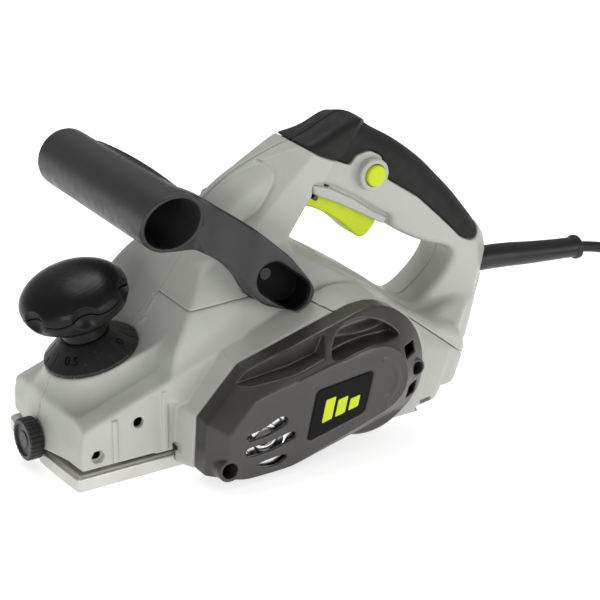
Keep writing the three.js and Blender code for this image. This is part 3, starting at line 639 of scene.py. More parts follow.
def housing_walls(f):
    """Outside of the whole housing."""
    low_x, high_x = float(f.x.min()), float(f.x.max())
    low_y, high_y = float(f.y.min()), float(f.y.max())

    def span(x_low, x_high, z_low, z_high):
        return (x_low, low_y, z_low), (x_high, high_y, z_high)

    def add(low, high, make, soft, *numbers):
        stamp(f, shape, low, high, lambda w: make(w, *numbers), either, soft)

    shape = np.full((f.x.size, f.y.size, f.z.size), 9, np.float32)
    add(*span(-5, 112, 5, 90), nose, 0)
    core = rounded(NOSE_AND_TAIL, 6)

    def middle(w):
        fall = (w.z - 92 + 0.62 * (w.x - 160) + 0.5 * np.maximum(w.y - 6, 0)) * 0.78
        return both(prism(w, core, -45, 45, 12), fall, 6)

    add(*span(55, 262, -5, 86), middle, 5)
    add(*span(45, 214, 30, 114), hump, 7)
    base = rounded(BELT_BASE, 1.2)

    def flare(w):
        side = polygon(w.x, w.z, base) - 0.2 * np.maximum(w.y + 60, 0)
        return corner(side, np.abs(w.y + 50) - 10, 0.8)

    add((50, low_y, -4), (248, -36, 90), flare, 0.8)
    add((108, 30, -3), (204, high_y, 98), rod, 6, 155, 48, 44, 30, 57.7, 8)
    add((194, low_y, -2), (292, high_y, 56), prow, 1.5)
    hole = rounded(HAND_HOLE, 5)
    handle = whole_handle(f)
    opening = flat(f, hole)
    ledge = rounded(LEDGE, 1.5)
    undercut = both(polygon(f.x, f.z, ledge) - 1.5, 11.8 - np.abs(f.y), 2)
    looped = without(without(handle, opening, 5), undercut, 4)
    shape = either(without(shape, opening, 8), looped, 6)
    add((158, -20, 95), (218, 20, 138), prism, 0.8, ledge, -14.3, 14.3, 1)
    add((186, -24, 118), (216, -8, 148), rod, 0.6, *BUTTON, 9.5, -20, -8, 1.4)
    add((-4, -14, 4), (12, 14, 30), rod_x, 0.6, 0, 15.5, 8.2, -2.6, 6, 0.5)
    return shape, handle


def wall_ribs(f, shape):
    """Two upright ribs on each front wall."""
    for x, half, top in ((20.2, 1.5, 38), (50.3, 1.8, 47.5)):
        for side in (-1, 1):
            high = top - (6 if side > 0 else 0)
            stamp(f, shape, (x - 5, side * 45.5 - 4, 9), (x + 5, side * 45.5 + 4, top + 4), lambda w: block(
                w, (x - half, side * 45 - 1.5, 13), (x + half, side * 45 + 1.5, high), 0.5), either, 0.3)


def engrave(f, shape, lines, width, depth):
    """Draws open lines, in x and z, as narrow grooves on the belt side."""
    side = np.where(f.y < -4, depth, 0).astype(np.float32)
    for line in lines:
        away = line_distance(f.x, f.z, line)
        shape += side * np.exp(-(away / width) ** 2)


def arrow_mark(f, shape):
    """A raised arrow outline on the slope before the hump, pointing at the depth dial."""
    tip = (55.6, 0.4)
    outline = [tip, (61.5, -4.2), (61.5, -1.9), (69.5, -1.9), (69.5, 2.7), (61.5, 2.7), (61.5, 4.8), tip]
    part = f.window((52, -8, 58), (74, 8, 92))
    if 0 in (part.x.size, part.y.size, part.z.size):
        return
    away = line_distance(part.x, part.y, outline)
    shape[part.place] -= 1.3 * np.exp(-(away / 0.65) ** 2)


def housing_hollows(f, shape):
    """Room for what lies inside, and the openings through the walls."""
    def cut(low, high, make, *numbers, soft=0.5):
        stamp(f, shape, low, high, lambda w: make(w, *numbers), without, soft)

    chamber = (-43.3, 41.6)
    cut((0, -44, 0), (64, 44, 62), lambda w: without(
        both(both(nose(w) + 3.6, w.x - 58), 4 - w.z), both(knob_post(w, 9), 30 - w.z)))
    cut((60, -48, -6), (122, 46, 56), rod, *DRUM, 27, *chamber, 0.5)
    cut((66, -48, -8), (112, 46, 30), block, (71, chamber[0], -8), (107.5, chamber[1], 26), 0.5)
    for x, z in (DRUM, MOTOR):
        cut((x - 14, -64, z - 14), (x + 14, -48, z + 14), rod, x, z, 11.3, -66, -50, 0.3)
        cut((x - 9, -54, z - 9), (x + 9, -38, z + 9), rod, x, z, 7, -50.5, -38, 0.2)
    cut((84, 38, 18), (100, 64, 31), rod, *DRUM, 4.15, 38, 70, 0.2)
    cut((124, -50, 4), (200, 48, 80), rod, *MOTOR, 34, -46, 43, 1)
    cut((148, 40, 26), (176, 54, 56), rod, *MOTOR, 11.3, 42, 50.3, 0.3)
    cut((-20, -60, -10), (72.3, 60, 14), block, (-30, -45.3, -30), (72.3, 70, 12), 0.2, soft=0.2)
    cut((104, -50, -10), (262, 50, 9), block, (107.2, -45.3, -30), (260, 45.3, 5.3), 0.2, soft=0.2)
    slot = [(161, 88), (161, 128.5), (172, 139), (206, 139), (212, 116), (212, 88)]
    cut((158, -13, 86), (215, 13, 142), prism, slot, -9.6, 9.6, 0.3)
    cut((160, -14, 124), (214, 14, 152), block, (171, -11, 128), (208, 11, 149), 1)
    cut((192, -26, 124), (210, -8, 142), rod, *BUTTON, 6.6, -30, -8, 0.3, soft=0.4)
    cut((190, -22, 122), (212, -17, 144), lambda w: np.maximum(
        np.abs(np.hypot(w.x - BUTTON[0], w.z - BUTTON[1]) - 8.1) - 0.35, np.abs(w.y + 20.2) - 0.9))
    cut((6, -50, 14), (15, -40, 23), hex_hole, 10.3, 18.6, 4.1, -50, -42, soft=0.2)
    cut((28, -50, 26), (41, -40, 39), rod, 34.9, 32.7, 3.1, -50, -39, 0.2, soft=0.3)
    cut((28, 40, 26), (41, 50, 39), rod, 34.9, 32.7, 3.1, 39, 50, 0.2, soft=0.3)
    cut((54, -50, 8), (60, -40, 18), block, (55, -50, 11), (57.6, -40, 15.5), 0.2)
    for x, z in SCREW_PLACES:
        cut((x - 5, -14, z - 5), (x + 5, 16, z + 5), rod, x, z, 2.1, -12, 15, 0.1, soft=0.2)
        cut((x - 7, 10, z - 7), (x + 7, 22, z + 7), rod, x, z, 3.9, 13, 26, 0.2, soft=0.4)
    for x, z in COVER_SCREWS:
        cut((x - 5, -64, z - 5), (x + 5, -50, z + 5), rod, x, z, 2.1, -66, -51.5, 0.1, soft=0.2)
    for y in (-30, 30):
        cut((210, y - 5, 0), (220, y + 5, 16), rod_z, 215, y, 2.3, -4, 13.5, 0.1, soft=0.2)
    for x, long in ((204, 4), (210, 9.5)):
        cut((x - 3, -64, -4), (x + 15, -46, 8), block, (x, -70, 2.3), (x + long, -49, 5.2), 0.3, soft=0.2)
    for step in range(-3, 4):
        x = 155 + step * 7.5
        top = 48 + math.sqrt(34 ** 2 - (step * 7.5) ** 2) * 0.8
        cut((x - 4, 50, 20), (x + 4, 62, 84), block, (x - 1.8, 52, 60), (x + 1.8, 64, top), 0.7)
        cut((x - 4, 50, 12), (x + 4, 62, 60), block, (x - 1.8, 54.5, 96 - top), (x + 1.8, 64, 36), 0.7)
    cut((282, -12, 44), (300, 12, 70), rod_x, 0, 56.6, 7.9, 281, 310, 0.3, soft=0.8)


def hex_hole(f, x, z, radius, y_low, y_high):
    turns = [k * math.pi / 3 for k in range(6)]
    points = [(x + radius * math.cos(t), z + radius * math.sin(t)) for t in turns]
    return prism(f, points, y_low, y_high, 0.1)


def knob_axis(f):
    """Distances across and along the depth knob's tilted axis, seen from the side."""
    dx, dz = f.x - DIAL[0], f.z - DIAL[1]
    cos, sin = math.cos(KNOB_TILT), math.sin(KNOB_TILT)
    return dx * cos + dz * sin, dz * cos - dx * sin


def knob_post(f, radius):
    """A round post or bore on the knob's axis, without ends."""
    return np.hypot(knob_axis(f)[0], f.y) - radius


def adapter_body(f, clearance):
    tube = rod(f, *TUBE, 18.2 + clearance, -33, 94, 0.2)
    arm = prism(f, ARM, -50, -32 + clearance, 0.2) - clearance
    return either(tube, arm)


def housing(f):
    shape, handle = housing_walls(f)
    wall_ribs(f, shape)
    arrow_mark(f, shape)
    engrave(f, shape, [smooth_line(NECK_OVAL)], 0.6, 1)
    housing_hollows(f, shape)
    shape = without(shape, grip_skin(f, handle, 0.3), 0.4)
    stamp(f, shape, (16, -12, 20), (46, 12, 62), lambda w: knob_post(w, 4.4), without)
    stamp(f, shape, (40, -56, 60), (156, -28, 160), lambda w: adapter_body(w, 0.3), without)
    return both(shape, 1.5 - f.z)


SHELL_JOINT = GAP / 2 + 0.05


def shell_piece(name, low, high, step, side, node, seam=None):
    """One shell of the housing: one side of the middle plane and, on the left, of the seam."""
    f = Field(low, high, step)
    walls = both(housing(f), SHELL_JOINT - side * f.y, 0.7)
    if seam:
        walls = both(walls, flat(f, seam) + GAP / 2, 0.7)
    build(name, f, walls, "housing", "grey_shell", GREY_SHELL, node)


def make_housing():
    below_seam = [*SEAM, (280, -40), (-40, -40), (-40, 84)]
    above_seam = [(-40, 300), (400, 300), (400, -20), (290, -20), *SEAM[::-1], (-40, 84)]
    shell_piece("housing_right_shell", (-6, -3, -1), (298, 61, 168), 0.9, 1, "housing_right")
    shell_piece("housing_left_shell", (-6, -63, -1), (286, 3, 90), 0.8, -1, "housing_left", below_seam)
    shell_piece("handle_cover_shell", (66, -63, 0), (298, 3, 168), 0.8, -1, "handle_cover_left", above_seam)


def make_grips():
    for side, name in ((1, "right"), (-1, "left")):
        y_range = (-3, 22) if side > 0 else (-22, 3)
        f = Field((128, y_range[0], 70), (298, y_range[1], 172), 0.6)
        handle = whole_handle(f)
        outside = handle + 0.6 * smoothstep(pad_end(f), -0.5, 0.5)
        zone = flat(f, rounded(GRIP_ZONE, 3)) + 0.15
        skin = both(both(outside, zone, 1.4), -(handle + GRIP_THICKNESS), 0.3)
        skin = both(skin, GAP / 2 - side * f.y, 0.6)
        build(f"grip_{name}_skin", f, skin, "housing", "soft_rubber", SOFT_RUBBER, f"grip_{name}")


# ---- trigger and lock button

def make_trigger():
    outline = smooth_line([
        (162, 127), (162, 119.5), (167, 116.6), (175, 112), (183, 106), (189, 100.5), (194, 95.5),
        (198, 92.8), (202, 93), (206, 96.5), (209, 101.5), (206, 113), (190, 120), (170, 129.5),
    ])
    f = Field((158, -12, 89), (213, 12, 133), 0.45)
    lever = prism(f, outline, -9, 9, 1.6)
    lever = without(lever, rod(f, 165, 124.5, 1.8, -8.2, 8.2, 0.1), 0.2)
    lever = without(lever, rod_z(f, 200, 0, 3.4, 107.5, 125, 0.2), 0.3)
    build("trigger_lever", f, lever, "trigger", "lime_plastic", LIME, "trigger")

    f = Field((192, -24, 124), (209, -12, 142), 0.3)
    button = rod(f, *BUTTON, 6.2, -22, -14.5, 1.1)
    build("lock_button_cap", f, button, "lock_button", "lime_plastic", LIME, "lock_button")


# ---- belt cover

COVER_RIM = [
    (59.5, 6), (61, 36), (86, 61), (126, 72), (157, 80), (166, 80.5), (174, 78.8), (182, 74.5), (189, 68.5),
    (195, 60), (199, 48), (199.8, 34), (197, 24), (189, 15), (122, 4.2), (104, 2.6), (76, 3.2), (66, 3.8),
]
COVER_BACK = -60.3
COVER_BULGE = (163.5, 40.4, 36.6)
COVER_TOP = [
    (83.5, 48.5), (68, 31.5), (67, 16.5), (72, 5.5), (80, 3.6), (106, 4), (136, 12.7), (169, 22.7),
    (178.5, 29.8), (182, 37), (181.5, 44), (179, 50.6), (173.5, 56.5), (167, 60.4), (160, 61), (152, 59.4),
    (111, 52),
]
BADGE = [(122.2, 45.5), (160.1, 49.2), (154, 24.7), (115.5, 15.5)]
COVER_POCKET = [(76, 54), (84, 61.5), (133.5, 72), (129.5, 61.3), (112, 57)]
COVER_SCOOP = [
    (133, 60), (136, 67), (141, 72.5), (149, 76), (157, 76.5), (166, 74), (174, 69), (180, 62.5), (170, 62.2),
    (160, 63), (148, 61), (139, 58.5),
]
COVER_EDGE_RING = [(112, 53.5), (150, 61), (162, 61.5), (172, 58.5), (179, 51), (181.3, 41), (178.5, 31),
                   (170, 24), (140, 14.5)]
COVER_ARROW = [(166, 29), (171, 31.5), (174.5, 37), (174.5, 44), (171, 50), (166, 53)]
VENTS = [
    [(79.1, 28.7), (90, 30.4), (102.4, 35.7), (105.3, 31.2), (92.5, 27), (79.1, 25.9)],
    [(77.8, 21.9), (93, 22.4), (108, 25.3), (110.3, 21.5), (95.5, 17.4), (79, 16.4)],
    [(82.8, 10.6), (89.5, 8.3), (97.1, 7.2), (105.5, 11.7), (100, 12.9), (90, 12.1)],
]


def cover_hull(f):
    """The cover's outside as one convex body."""
    points = [(x, y, z) for x, z in COVER_RIM for y in (COVER_BACK, -72)]
    main = hull(f, points + [(x, -84, z) for x, z in COVER_TOP], 0.7)
    return either(main, rod(f, *COVER_BULGE, -72.5, COVER_BACK, 3), 1)


def make_belt_cover():
    f = Field((56, -87, -1), (204, -57, 84), 0.5)
    body = cover_hull(f)
    pocket_side = flat(f, rounded(COVER_POCKET, 0.8))
    pocket = both(pocket_side, f.y + 70.5 + 0.1 * (f.z - 62), 0.5)
    scoop_side = flat(f, rounded(COVER_SCOOP, 3))
    lens = np.exp(-((f.x - 159) / 15) ** 2 - ((f.z - 68.5 - 0.05 * (f.x - 159)) / 2.6) ** 2)
    scoop = both(scoop_side, f.y + 69.5 + 5 * lens, 1.5)
    outside = without(without(body, pocket, 0.5), scoop, 0.8)
    for x, z, wide, top in ((68.4, 11.7, 6.6, -83.9), (191.8, 39.6, 5.2, -78)):
        outside = either(outside, rod(f, x, z, wide, top, COVER_BACK, 0.8), 1)
    room = without(without(body + 2.4, pocket - 2.2), scoop - 2.2)
    for x, z in COVER_SCREWS:
        room = without(room, rod(f, x, z, 5.4, -90, COVER_BACK, 0.2))
    shell = without(outside, room, 0.3)
    for (x, z), (mouth_x, mouth_z, wide) in zip(COVER_SCREWS, ((68.4, 11.7, 4.5), (191.8, 39.6, 3.6))):
        shell = without(shell, rod(f, mouth_x, mouth_z, wide, -90, -70.3, 0.2), 0.3)
        shell = without(shell, rod(f, x, z, 2.1, -90, -55, 0.1))
    shell = without(shell, prism(f, rounded(BADGE, 3), -95, -83.5, 0.1), 0.3)
    for vent in VENTS:
        shell = without(shell, prism(f, rounded(vent, 4), -95, -78, 0.1), 0.8)
    dish = np.hypot(f.x - 93, f.z - 21) - 17
    shell += 0.55 * smoothstep(-dish, -1.5, 1.5) * smoothstep(-f.y, 81.5, 83) * smoothstep(f.z, 21, 33)
    for low, high in (((181, 49.5), (190.5, 56)), ((184.5, 23), (193, 31.5))):
        shell = without(shell, block(f, (low[0], -90, low[1]), (high[0], -68, high[1]), 0.6), 0.7)
    ring = line_distance(f.x, f.z, smooth_line(COVER_EDGE_RING)) - 0.4
    shell -= 0.35 * smoothstep(-ring, -0.5, 0.5) * (f.y < -81)
    arrow = line_distance(f.x, f.z, smooth_line(COVER_ARROW)) - 1.3
    head = polygon(f.x, f.z, [(169, 23.5), (160.5, 27.5), (167.5, 32.5)])
    shell -= 0.45 * smoothstep(-either(arrow, head), -0.6, 0.2) * (f.y < -82)
    shell = both(shell, f.y - COVER_BACK, 0.3)
    build("belt_cover_shell", f, shell, "housing", "cover_plastic", COVER_PLASTIC, "belt_cover")


def flat_piece(name, outline, y_back, y_front, finish, slot, *nodes, edge=0.25, step=0.35):
    xs = [p[0] for p in outline]
    zs = [p[1] for p in outline]
    f = Field((min(xs) - 1, y_front - 1, min(zs) - 1), (max(xs) + 1, y_back + 1, max(zs) + 1), step)
    build(name, f, prism(f, outline, y_front, y_back, edge), "housing", slot, finish, *nodes)


def make_badge():
    """A dark plate with a plain mark: three leaning bars, each shorter than the last."""
    def on_plate(across, up):
        left = np.array(BADGE[3]) + (np.array(BADGE[0]) - BADGE[3]) * up
        right = np.array(BADGE[2]) + (np.array(BADGE[1]) - BADGE[2]) * up
        return tuple(left + (right - left) * across)

    plate = [on_plate(a, u) for a, u in ((0.02, 0.98), (0.98, 0.98), (0.98, 0.02), (0.02, 0.02))]
    flat_piece("badge_plate_face", rounded(plate, 3), -83.6, -84.3, LABEL_AND_PAINTED_SHADE, "label", "badge_plate", step=0.25)
    for index, (start, top) in enumerate(((0.2, 0.74), (0.42, 0.64), (0.64, 0.54))):
        end = start + 0.17
        bar = [on_plate(a, u) for a, u in ((start, 0.28), (end, 0.28), (end, top), (start, top))]
        flat_piece(f"badge_bar_{index + 1}", rounded(bar, 0.8), -84.2, -84.6, LIME, "lime_plastic",
                   edge=0.1, step=0.2)


# ---- dust adapter

ARM = [
    (62, 154.2), (70, 153.8), (80, 149), (105.5, 130), (127, 110), (139.5, 93.8), (143, 87), (140.3, 80),
    (132, 75.8), (122.5, 80), (111, 84.5), (104, 91), (100, 99.9), (90, 111), (80, 117.5), (64, 118),
]
SOCKET = [(116, 99.2), (129.8, 87.6)]


def arm_face(f):
    """How far out the arm's front face stands, stepping out towards the socket."""
    return -33.6 - 15.9 * smoothstep(f.x - 0.25 * (f.z - 110), 74, 108)


def make_dust_adapter():
    f = Field((44, -52, 72), (148, 96, 157), 0.75)
    share = (f.y + 33) / 127
    radius = 17.9 - 0.7 * share
    level = TUBE[1] + 0.3 - 1.6 * share
    mouth = -33.8 - 0.3 * (f.z - TUBE[1]) - 0.12 * (f.x - TUBE[0]) - f.y
    tube = corner(np.hypot(f.x - TUBE[0], f.z - level) - radius, np.maximum(mouth, f.y - 94), 0.8)
    bearing = math.radians(48)
    across = (f.x - TUBE[0]) * -math.sin(bearing) + (f.z - TUBE[1]) * math.cos(bearing)
    out = (f.x - TUBE[0]) * math.cos(bearing) + (f.z - TUBE[1]) * math.sin(bearing)
    bow = 17.2 + 2.4 * np.clip(1 - ((f.y - 22) / 50) ** 2, 0, 1)
    fin = both(np.abs(across) - 0.9, np.abs(out - bow + 3) - 3, 0.3)
    tube = either(tube, both(fin, np.abs(f.y - 22) - 50), 0.8)
    face = arm_face(f)
    side = flat(f, rounded(ARM, 5))
    back = f.y + 32 - 8 * smoothstep(TUBE[0] + 32 - f.x, 0, 14)
    arm = corner(side, np.maximum(face - f.y, back), 0.9)
    arm = both(arm, mouth - 30 * smoothstep(f.x, TUBE[0] + 14, TUBE[0] + 30), 1)
    body = either(tube, arm, 1.5)
    body = without(body, np.hypot(f.x - TUBE[0], f.z - level) - radius + 2.4, 0.7)
    pocket = corner(line_distance(f.x, f.z, SOCKET) - 10, np.abs(f.y + 53) - 19, 0.5)
    body = without(body, pocket, 0.6)
    body = without(body, rod(f, *SOCKET[0], 2.1, -60, 0, 0.1))
    build("dust_adapter_body", f, body, "housing", "adapter_plastic", ADAPTER_PLASTIC, "dust_adapter")

    # A thin near-black sheet just inside the socket pocket's walls and floor: painted shade, standing in for
    # the dark of the deep pocket.
    f = Field((103, -50, 75), (143, -32, 112), 0.5)
    away = line_distance(f.x, f.z, SOCKET)
    painted_shade_sheet = corner(away - 9.85, np.abs(f.y + 53) - 18.85, 0.4)
    painted_shade_sheet = without(painted_shade_sheet, corner(away - 9.1, np.abs(f.y + 54) - 19, 0.4))
    painted_shade_sheet = both(painted_shade_sheet, arm_face(f) + 1.2 - f.y)
    painted_shade_sheet = without(painted_shade_sheet, rod(f, *SOCKET[0], 3.4, -60, 0, 0.1))
    build("socket_lining", f, painted_shade_sheet, "housing", "adapter_plastic", LABEL_AND_PAINTED_SHADE)


# ---- depth knob

KNOB_PLACE = Matrix.Translation((DIAL[0], 0, DIAL[1])) @ Matrix.Rotation(-KNOB_TILT, 4, "Y")
SCALLOPS = [math.radians(-104 + 60 * k) for k in range(6)]


def scalloped(f, shape, soft):
    """Takes six thumb dips out of a knob's rim."""
    for bearing in SCALLOPS:
        dip = np.sqrt(
            (f.x - 36.5 * math.cos(bearing)) ** 2 + (f.y - 36.5 * math.sin(bearing)) ** 2 + (f.z - 37.5) ** 2
        ) - 10.6
        shape = without(shape, dip, soft)
    return shape


def knob_piece(name, f, values, slot, finish, node):
    build(name, f, values, "depth_knob", slot, finish, node, place=KNOB_PLACE)


def make_depth_knob():
    reach = 31
    f = Field((-reach, -reach, 12), (reach, reach, 53), 0.45)
    wave = 36.3 + 1.2 * np.cos(6 * (np.arctan2(f.y, f.x) - SCALLOPS[0]))
    low = revolve(f, [(-5, 12.9), (12.7, 12.9), (12.7, 19.6), (14, 20.8), (20, 22.8), (27.6, 28.6),
                      (29.7, 33), (30, 42), (-5, 42)])
    radius = np.hypot(f.x, f.y) + 0 * f.z
    low = without(both(scalloped(f, low, 0.4), f.z - wave + 0.25, 0.5), radius - 4.4, 0.3)
    low = without(low, both(radius - 7.5, 28.3 - f.z))
    knob_piece("knob_body_shell", f, low, "black_plastic", KNOB_PLASTIC, "knob_body")

    dome = [(30 * math.cos(t), 36.5 + 15.4 * math.sin(t)) for t in (k * math.pi / 28 for k in range(15))]
    cap = revolve(f, [(-5, 32), (29.6, 32), *dome, (-5, 51.9)])
    cap = both(scalloped(f, cap, 0.3), wave + 0.1 - f.z, 0.5)
    cap = without(cap, both(radius - 9, f.z - 40))
    knob_piece("knob_cap_dome", f, cap, "black_plastic", KNOB_PLASTIC, "knob_cap")

    f = Field((-27.5, -27.5, -0.5), (27.5, 27.5, 16), 0.4)
    cone = revolve(f, [(-5, 0.3), (26.1, 0.3), (26.4, 0.7), (26.4, 2.5), (25.8, 3), (14.4, 12), (13.4, 12.6),
                       (-5, 12.6)])
    turn = np.arctan2(f.y, f.x)
    radius = np.hypot(f.x, f.y)
    for k in range(20):
        off = np.abs((turn - math.radians(18 * k) - SCALLOPS[0] + math.pi) % (2 * math.pi) - math.pi) * radius
        inner = 17 if k % 2 == 0 else 21.5
        cone += 0.5 * np.exp(-(off / 0.35) ** 2) * smoothstep(radius, inner, inner + 0.6)
    cone = without(cone, radius - 4.4 + 0 * f.z)
    knob_piece("depth_dial_cone", f, cone, "black_plastic", BLACK_PLASTIC, "depth_dial")

    f = Field((-9, -9, -53), (9, 9, 34), 0.3)
    screw = revolve(f, [(-5, -52), (3.2, -52), (3.9, -51), (3.9, 28.6), (-5, 28.6)])
    twist = np.arctan2(f.y, f.x) / (2 * math.pi) * 1.5
    ridge = np.abs((f.z / 1.5 - twist / 1.5) % 1 - 0.5)
    screw += 0.45 * ridge * (f.z < -20) * (f.z > -51.5)
    angle = (np.arctan2(f.y, f.x) + math.pi / 6) % (math.pi / 3) - math.pi / 6
    head = corner(np.hypot(f.x, f.y) * np.cos(angle) - 6, np.abs(f.z - 30.6) - 2.3, 0.4)
    knob_piece("depth_screw_rod", f, either(screw, head, 0.2), "steel", STEEL, "depth_screw")


def make_dial_numbers():
    """Raised figures round the dial's slope, as on any depth scale."""
    slope = math.atan2(12 - 3, 25.8 - 14.4)
    for index, figure in enumerate(("0", "0.5", "1", "1.5")):
        data = bpy.data.curves.new(f"figure_{index}", "FONT")
        data.body = figure
        data.size = 7 * MM
        data.extrude = 0.25 * MM
        data.align_x = "CENTER"
        data.align_y = "CENTER"
        text = bpy.data.objects.new(f"figure_{index}", data)
        link(text)
        mesh = bpy.data.meshes.new_from_object(text.evaluated_get(bpy.context.evaluated_depsgraph_get()))
        bpy.data.objects.remove(text)
        bearing = math.radians(-55 - 90 * index)
        middle = 20.2
        height = 3 + (25.8 - middle) * math.tan(slope)
        upright = Matrix.Rotation(bearing + math.pi / 2, 4, "Z") @ Matrix.Rotation(slope, 4, "X")
        spot = Vector((middle * math.cos(bearing), middle * math.sin(bearing), height)) * MM
        place = KNOB_PLACE.copy()
        place.translation = row((DIAL[0], 0, DIAL[1]))
        mesh.transform(place @ Matrix.Translation(spot) @ upright)
        piece = bpy.data.objects.new(f"dial_figure_{index + 1}", mesh)
        link(piece)
        place_piece(piece, "depth_knob", "black_plastic", DIAL_INK)


# ---- soles, clamp knob, cord fittings

def make_shoe():
    f = Field((-5, -46, -1), (72, 46, 21), 0.6)
    bow = -4 * (1 - np.where(f.y < 0, 0.5, 1) * (f.y / SOLE_HALF_WIDTH) ** 2) - f.x
    plan = corner(np.maximum(bow, f.x - 71), np.abs(f.y) - SOLE_HALF_WIDTH, 2.5)
    plate = corner(plan, np.abs(f.z - 4) - 4, 0.7)
    plate = either(plate, corner(plan + 1.6, np.abs(f.z - 5) - 4.2, 0.3))
    along = knob_axis(f)[1]
    post = both(knob_post(f, 9), along + 37, 0.6)
    shoe = either(plate, both(post, 2 - f.z), 2)
    for side in (-1, 1):
        low, high = sorted((side * 30, side * 38))
        shoe = either(shoe, block(f, (14, low, 6), (26, high, 20), 0.8), 1.5)
    shoe = without(shoe, both(knob_post(f, 4.3), -54 - along), 0.3)
    groove = both(np.abs(f.y) - 3 + 1.2 * np.maximum(f.z, 0), f.z - 2.5) + 0 * f.x
    shoe = without(shoe, groove, 0.4)
    build("front_shoe_plate", f, both(shoe, -f.z, 0.5), "front_shoe", "shoe_aluminium", CAST, "front_shoe")

    f = Field((106, -46, -1), (227, 46, 6), 0.65)
    sole = block(f, (107.5, -SOLE_HALF_WIDTH, 0), (226, SOLE_HALF_WIDTH, 5), 0.6)
    for y in (-30, 30):
        sole = without(sole, rod_z(f, 215, y, 2.3, -2, 9, 0.1), 0.1)
        sole = without(sole, rod_z(f, 215, y, 4.4, -3, 2.8, 0.1), 0.5)
    build("rear_sole_plate", f, sole, "housing", "shoe_aluminium", CAST, "rear_sole")


def make_clamp_knob():
    f = Field((-14, -13, 2), (-4, 13, 29), 0.32)
    turn = np.arctan2(f.z - 15.5, f.y)
    reach = np.hypot(f.y, f.z - 15.5)
    side = reach - 11.75 + 0.45 * np.maximum(np.cos(26 * turn), -0.2)
    disc = corner(side + 0 * f.x, np.abs(f.x + 9) - 4, 1)
    disc = without(disc, rod_x(f, 0, 15.5, 9, -20, -11.8, 0.3), 0.5)
    disc = either(disc, rod_x(f, 0, 15.5, 5, -12.4, -8, 0.4), 0.3)
    disc = without(disc, rod_x(f, 0, 15.5, 3, -10, 0, 0.1))
    build("clamp_knob_disc", f, disc, "clamp_knob", "black_plastic", BLACK_PLASTIC, "guide_clamp_knob")


SLEEVE_ROUTE = [(284, 57), (293, 56.8), (310, 55.2), (330, 52.6), (350, 50.4), (365.2, 48.85)]


def make_cord_fittings():
    f = Field((282, -9, 40), (367, 9, 66), 0.4)
    taper = 7.4 - 1.1 * smoothstep(f.x, 300, 358)
    away = np.hypot(line_distance(f.x, f.z, smooth_line(SLEEVE_ROUTE)), f.y)
    sleeve = both(both(away - taper, 284 - f.x, 0.6), f.x - 365, 0.5)
    collar = both(away - 7.5, np.abs(f.x - 363.2) - 1.7, 0.9)
    sleeve = either(sleeve, collar, 0.8)
    sleeve = without(sleeve, both(away - 3.5, 362 - f.x), 0.3)
    build("strain_relief_sleeve", f, sleeve, "housing", "soft_rubber", BLACK_PLASTIC, "strain_relief")

    tail_y = COIL_CENTRE[1] - COIL_RADIUS - 2 * CORD_RADIUS
    f = Field((388, tail_y - 20, 0.5), (450, tail_y + 20, 23), 0.5)
    half = [(426.7, 7), (418.7, 16), (408.7, 18), (390.7, 18)]
    outline = half + [(x, -y) for x, y in reversed(half)]
    plan = polygon(f.x, f.y - tail_y, rounded(outline, 5))
    body = corner(plan + 0 * f.z, np.abs(f.z - PLUG_HEIGHT) - 9.5, 3.2)
    grip = np.exp(-((np.hypot((f.x - 405) / 1.4, f.y - tail_y) / 7) ** 4)) * 1.3
    body += grip * np.maximum(np.cos(f.x * 1.9), 0)
    reach = np.hypot(f.y - tail_y, f.z - PLUG_HEIGHT)
    neck = reach - 4.4 - 1.2 * np.clip((448.4 - f.x) / 24, 0, 1.4) + 0.35 * np.maximum(np.cos(f.x * 1.7), 0)
    neck = both(both(neck, f.x - 448.4, 0.4), 420 - f.x)
    plug = either(body, neck, 2)
    plug = without(plug, both(reach - 3.5, 446 - f.x), 0.2)
    made = [build("plug_body", f, plug, "housing", "black_plastic", CORD_RUBBER, "plug")]
    for index, side in enumerate((-9.5, 9.5)):
        f = Field((371, tail_y + side - 3, 8), (393, tail_y + side + 3, 15), 0.25)
        pin = rod_x(f, tail_y + side, PLUG_HEIGHT, 2.4, 371.9, 392, 1.3)
        made.append(build(f"plug_pin_{index + 1}", f, pin, "housing", "steel", BRIGHT_STEEL))

    middle = COIL_CENTRE[0] + COIL_RADIUS
    f = Field((middle - 13, COIL_CENTRE[1] - 6, 0), (middle + 13, COIL_CENTRE[1] + 6, 24), 0.35)
    low, high = COIL_CENTRE[1] - 4.9, COIL_CENTRE[1] + 4.9
    band = block(f, (middle - 11.4, low, 0.25), (middle + 11.4, high, 23.1), 1.6)
    band = without(band, block(f, (middle - 10.3, low - 9, 1.35), (middle + 10.3, high + 9, 22), 1.2), 0.3)
    made.append(build("cord_tie_band", f, band, "housing", "black_plastic", CORD_RUBBER, "cord_tie"))
    return made


# ---- drum and drive

def make_drum():
    f = Field((69, -80, 2), (115, 42, 47), 0.65)
    drum = rod(f, *DRUM, 22.3, -41, 41, 0.6)
    drum = either(drum, rod(f, *DRUM, 5, -79, -40, 0.4), 0.4)
    dx, dz = f.x - DRUM[0], f.z - DRUM[1]
    for side in (1, -1):
        out, up = side * dx, side * dz
        slot = np.maximum(np.maximum(14 - out, -1 - up), up - 6) + 0 * f.y
        drum = without(drum, slot, 0.5)
        # rounded chip gullet ahead of each blade
        gullet = np.hypot(out - 21.5, up + 4.5) - 4 + 0 * f.y
        drum = without(drum, both(gullet, np.abs(f.y) - 41.5), 0.8)
        for y in (-24, 24):
            pocket = np.maximum(np.maximum(14.4 - out, 5 - up), up - 8.7)
            drum = without(drum, both(pocket + 0 * f.y, np.abs(f.y - y) - 4, 0.3), 0.4)
    drum = without(drum, rod(f, *DRUM, 9.3, 32.5, 45, 0.1), 0.5)
    build("cutter_drum_body", f, drum, "drum", "shoe_aluminium", CAST, "cutter_drum")


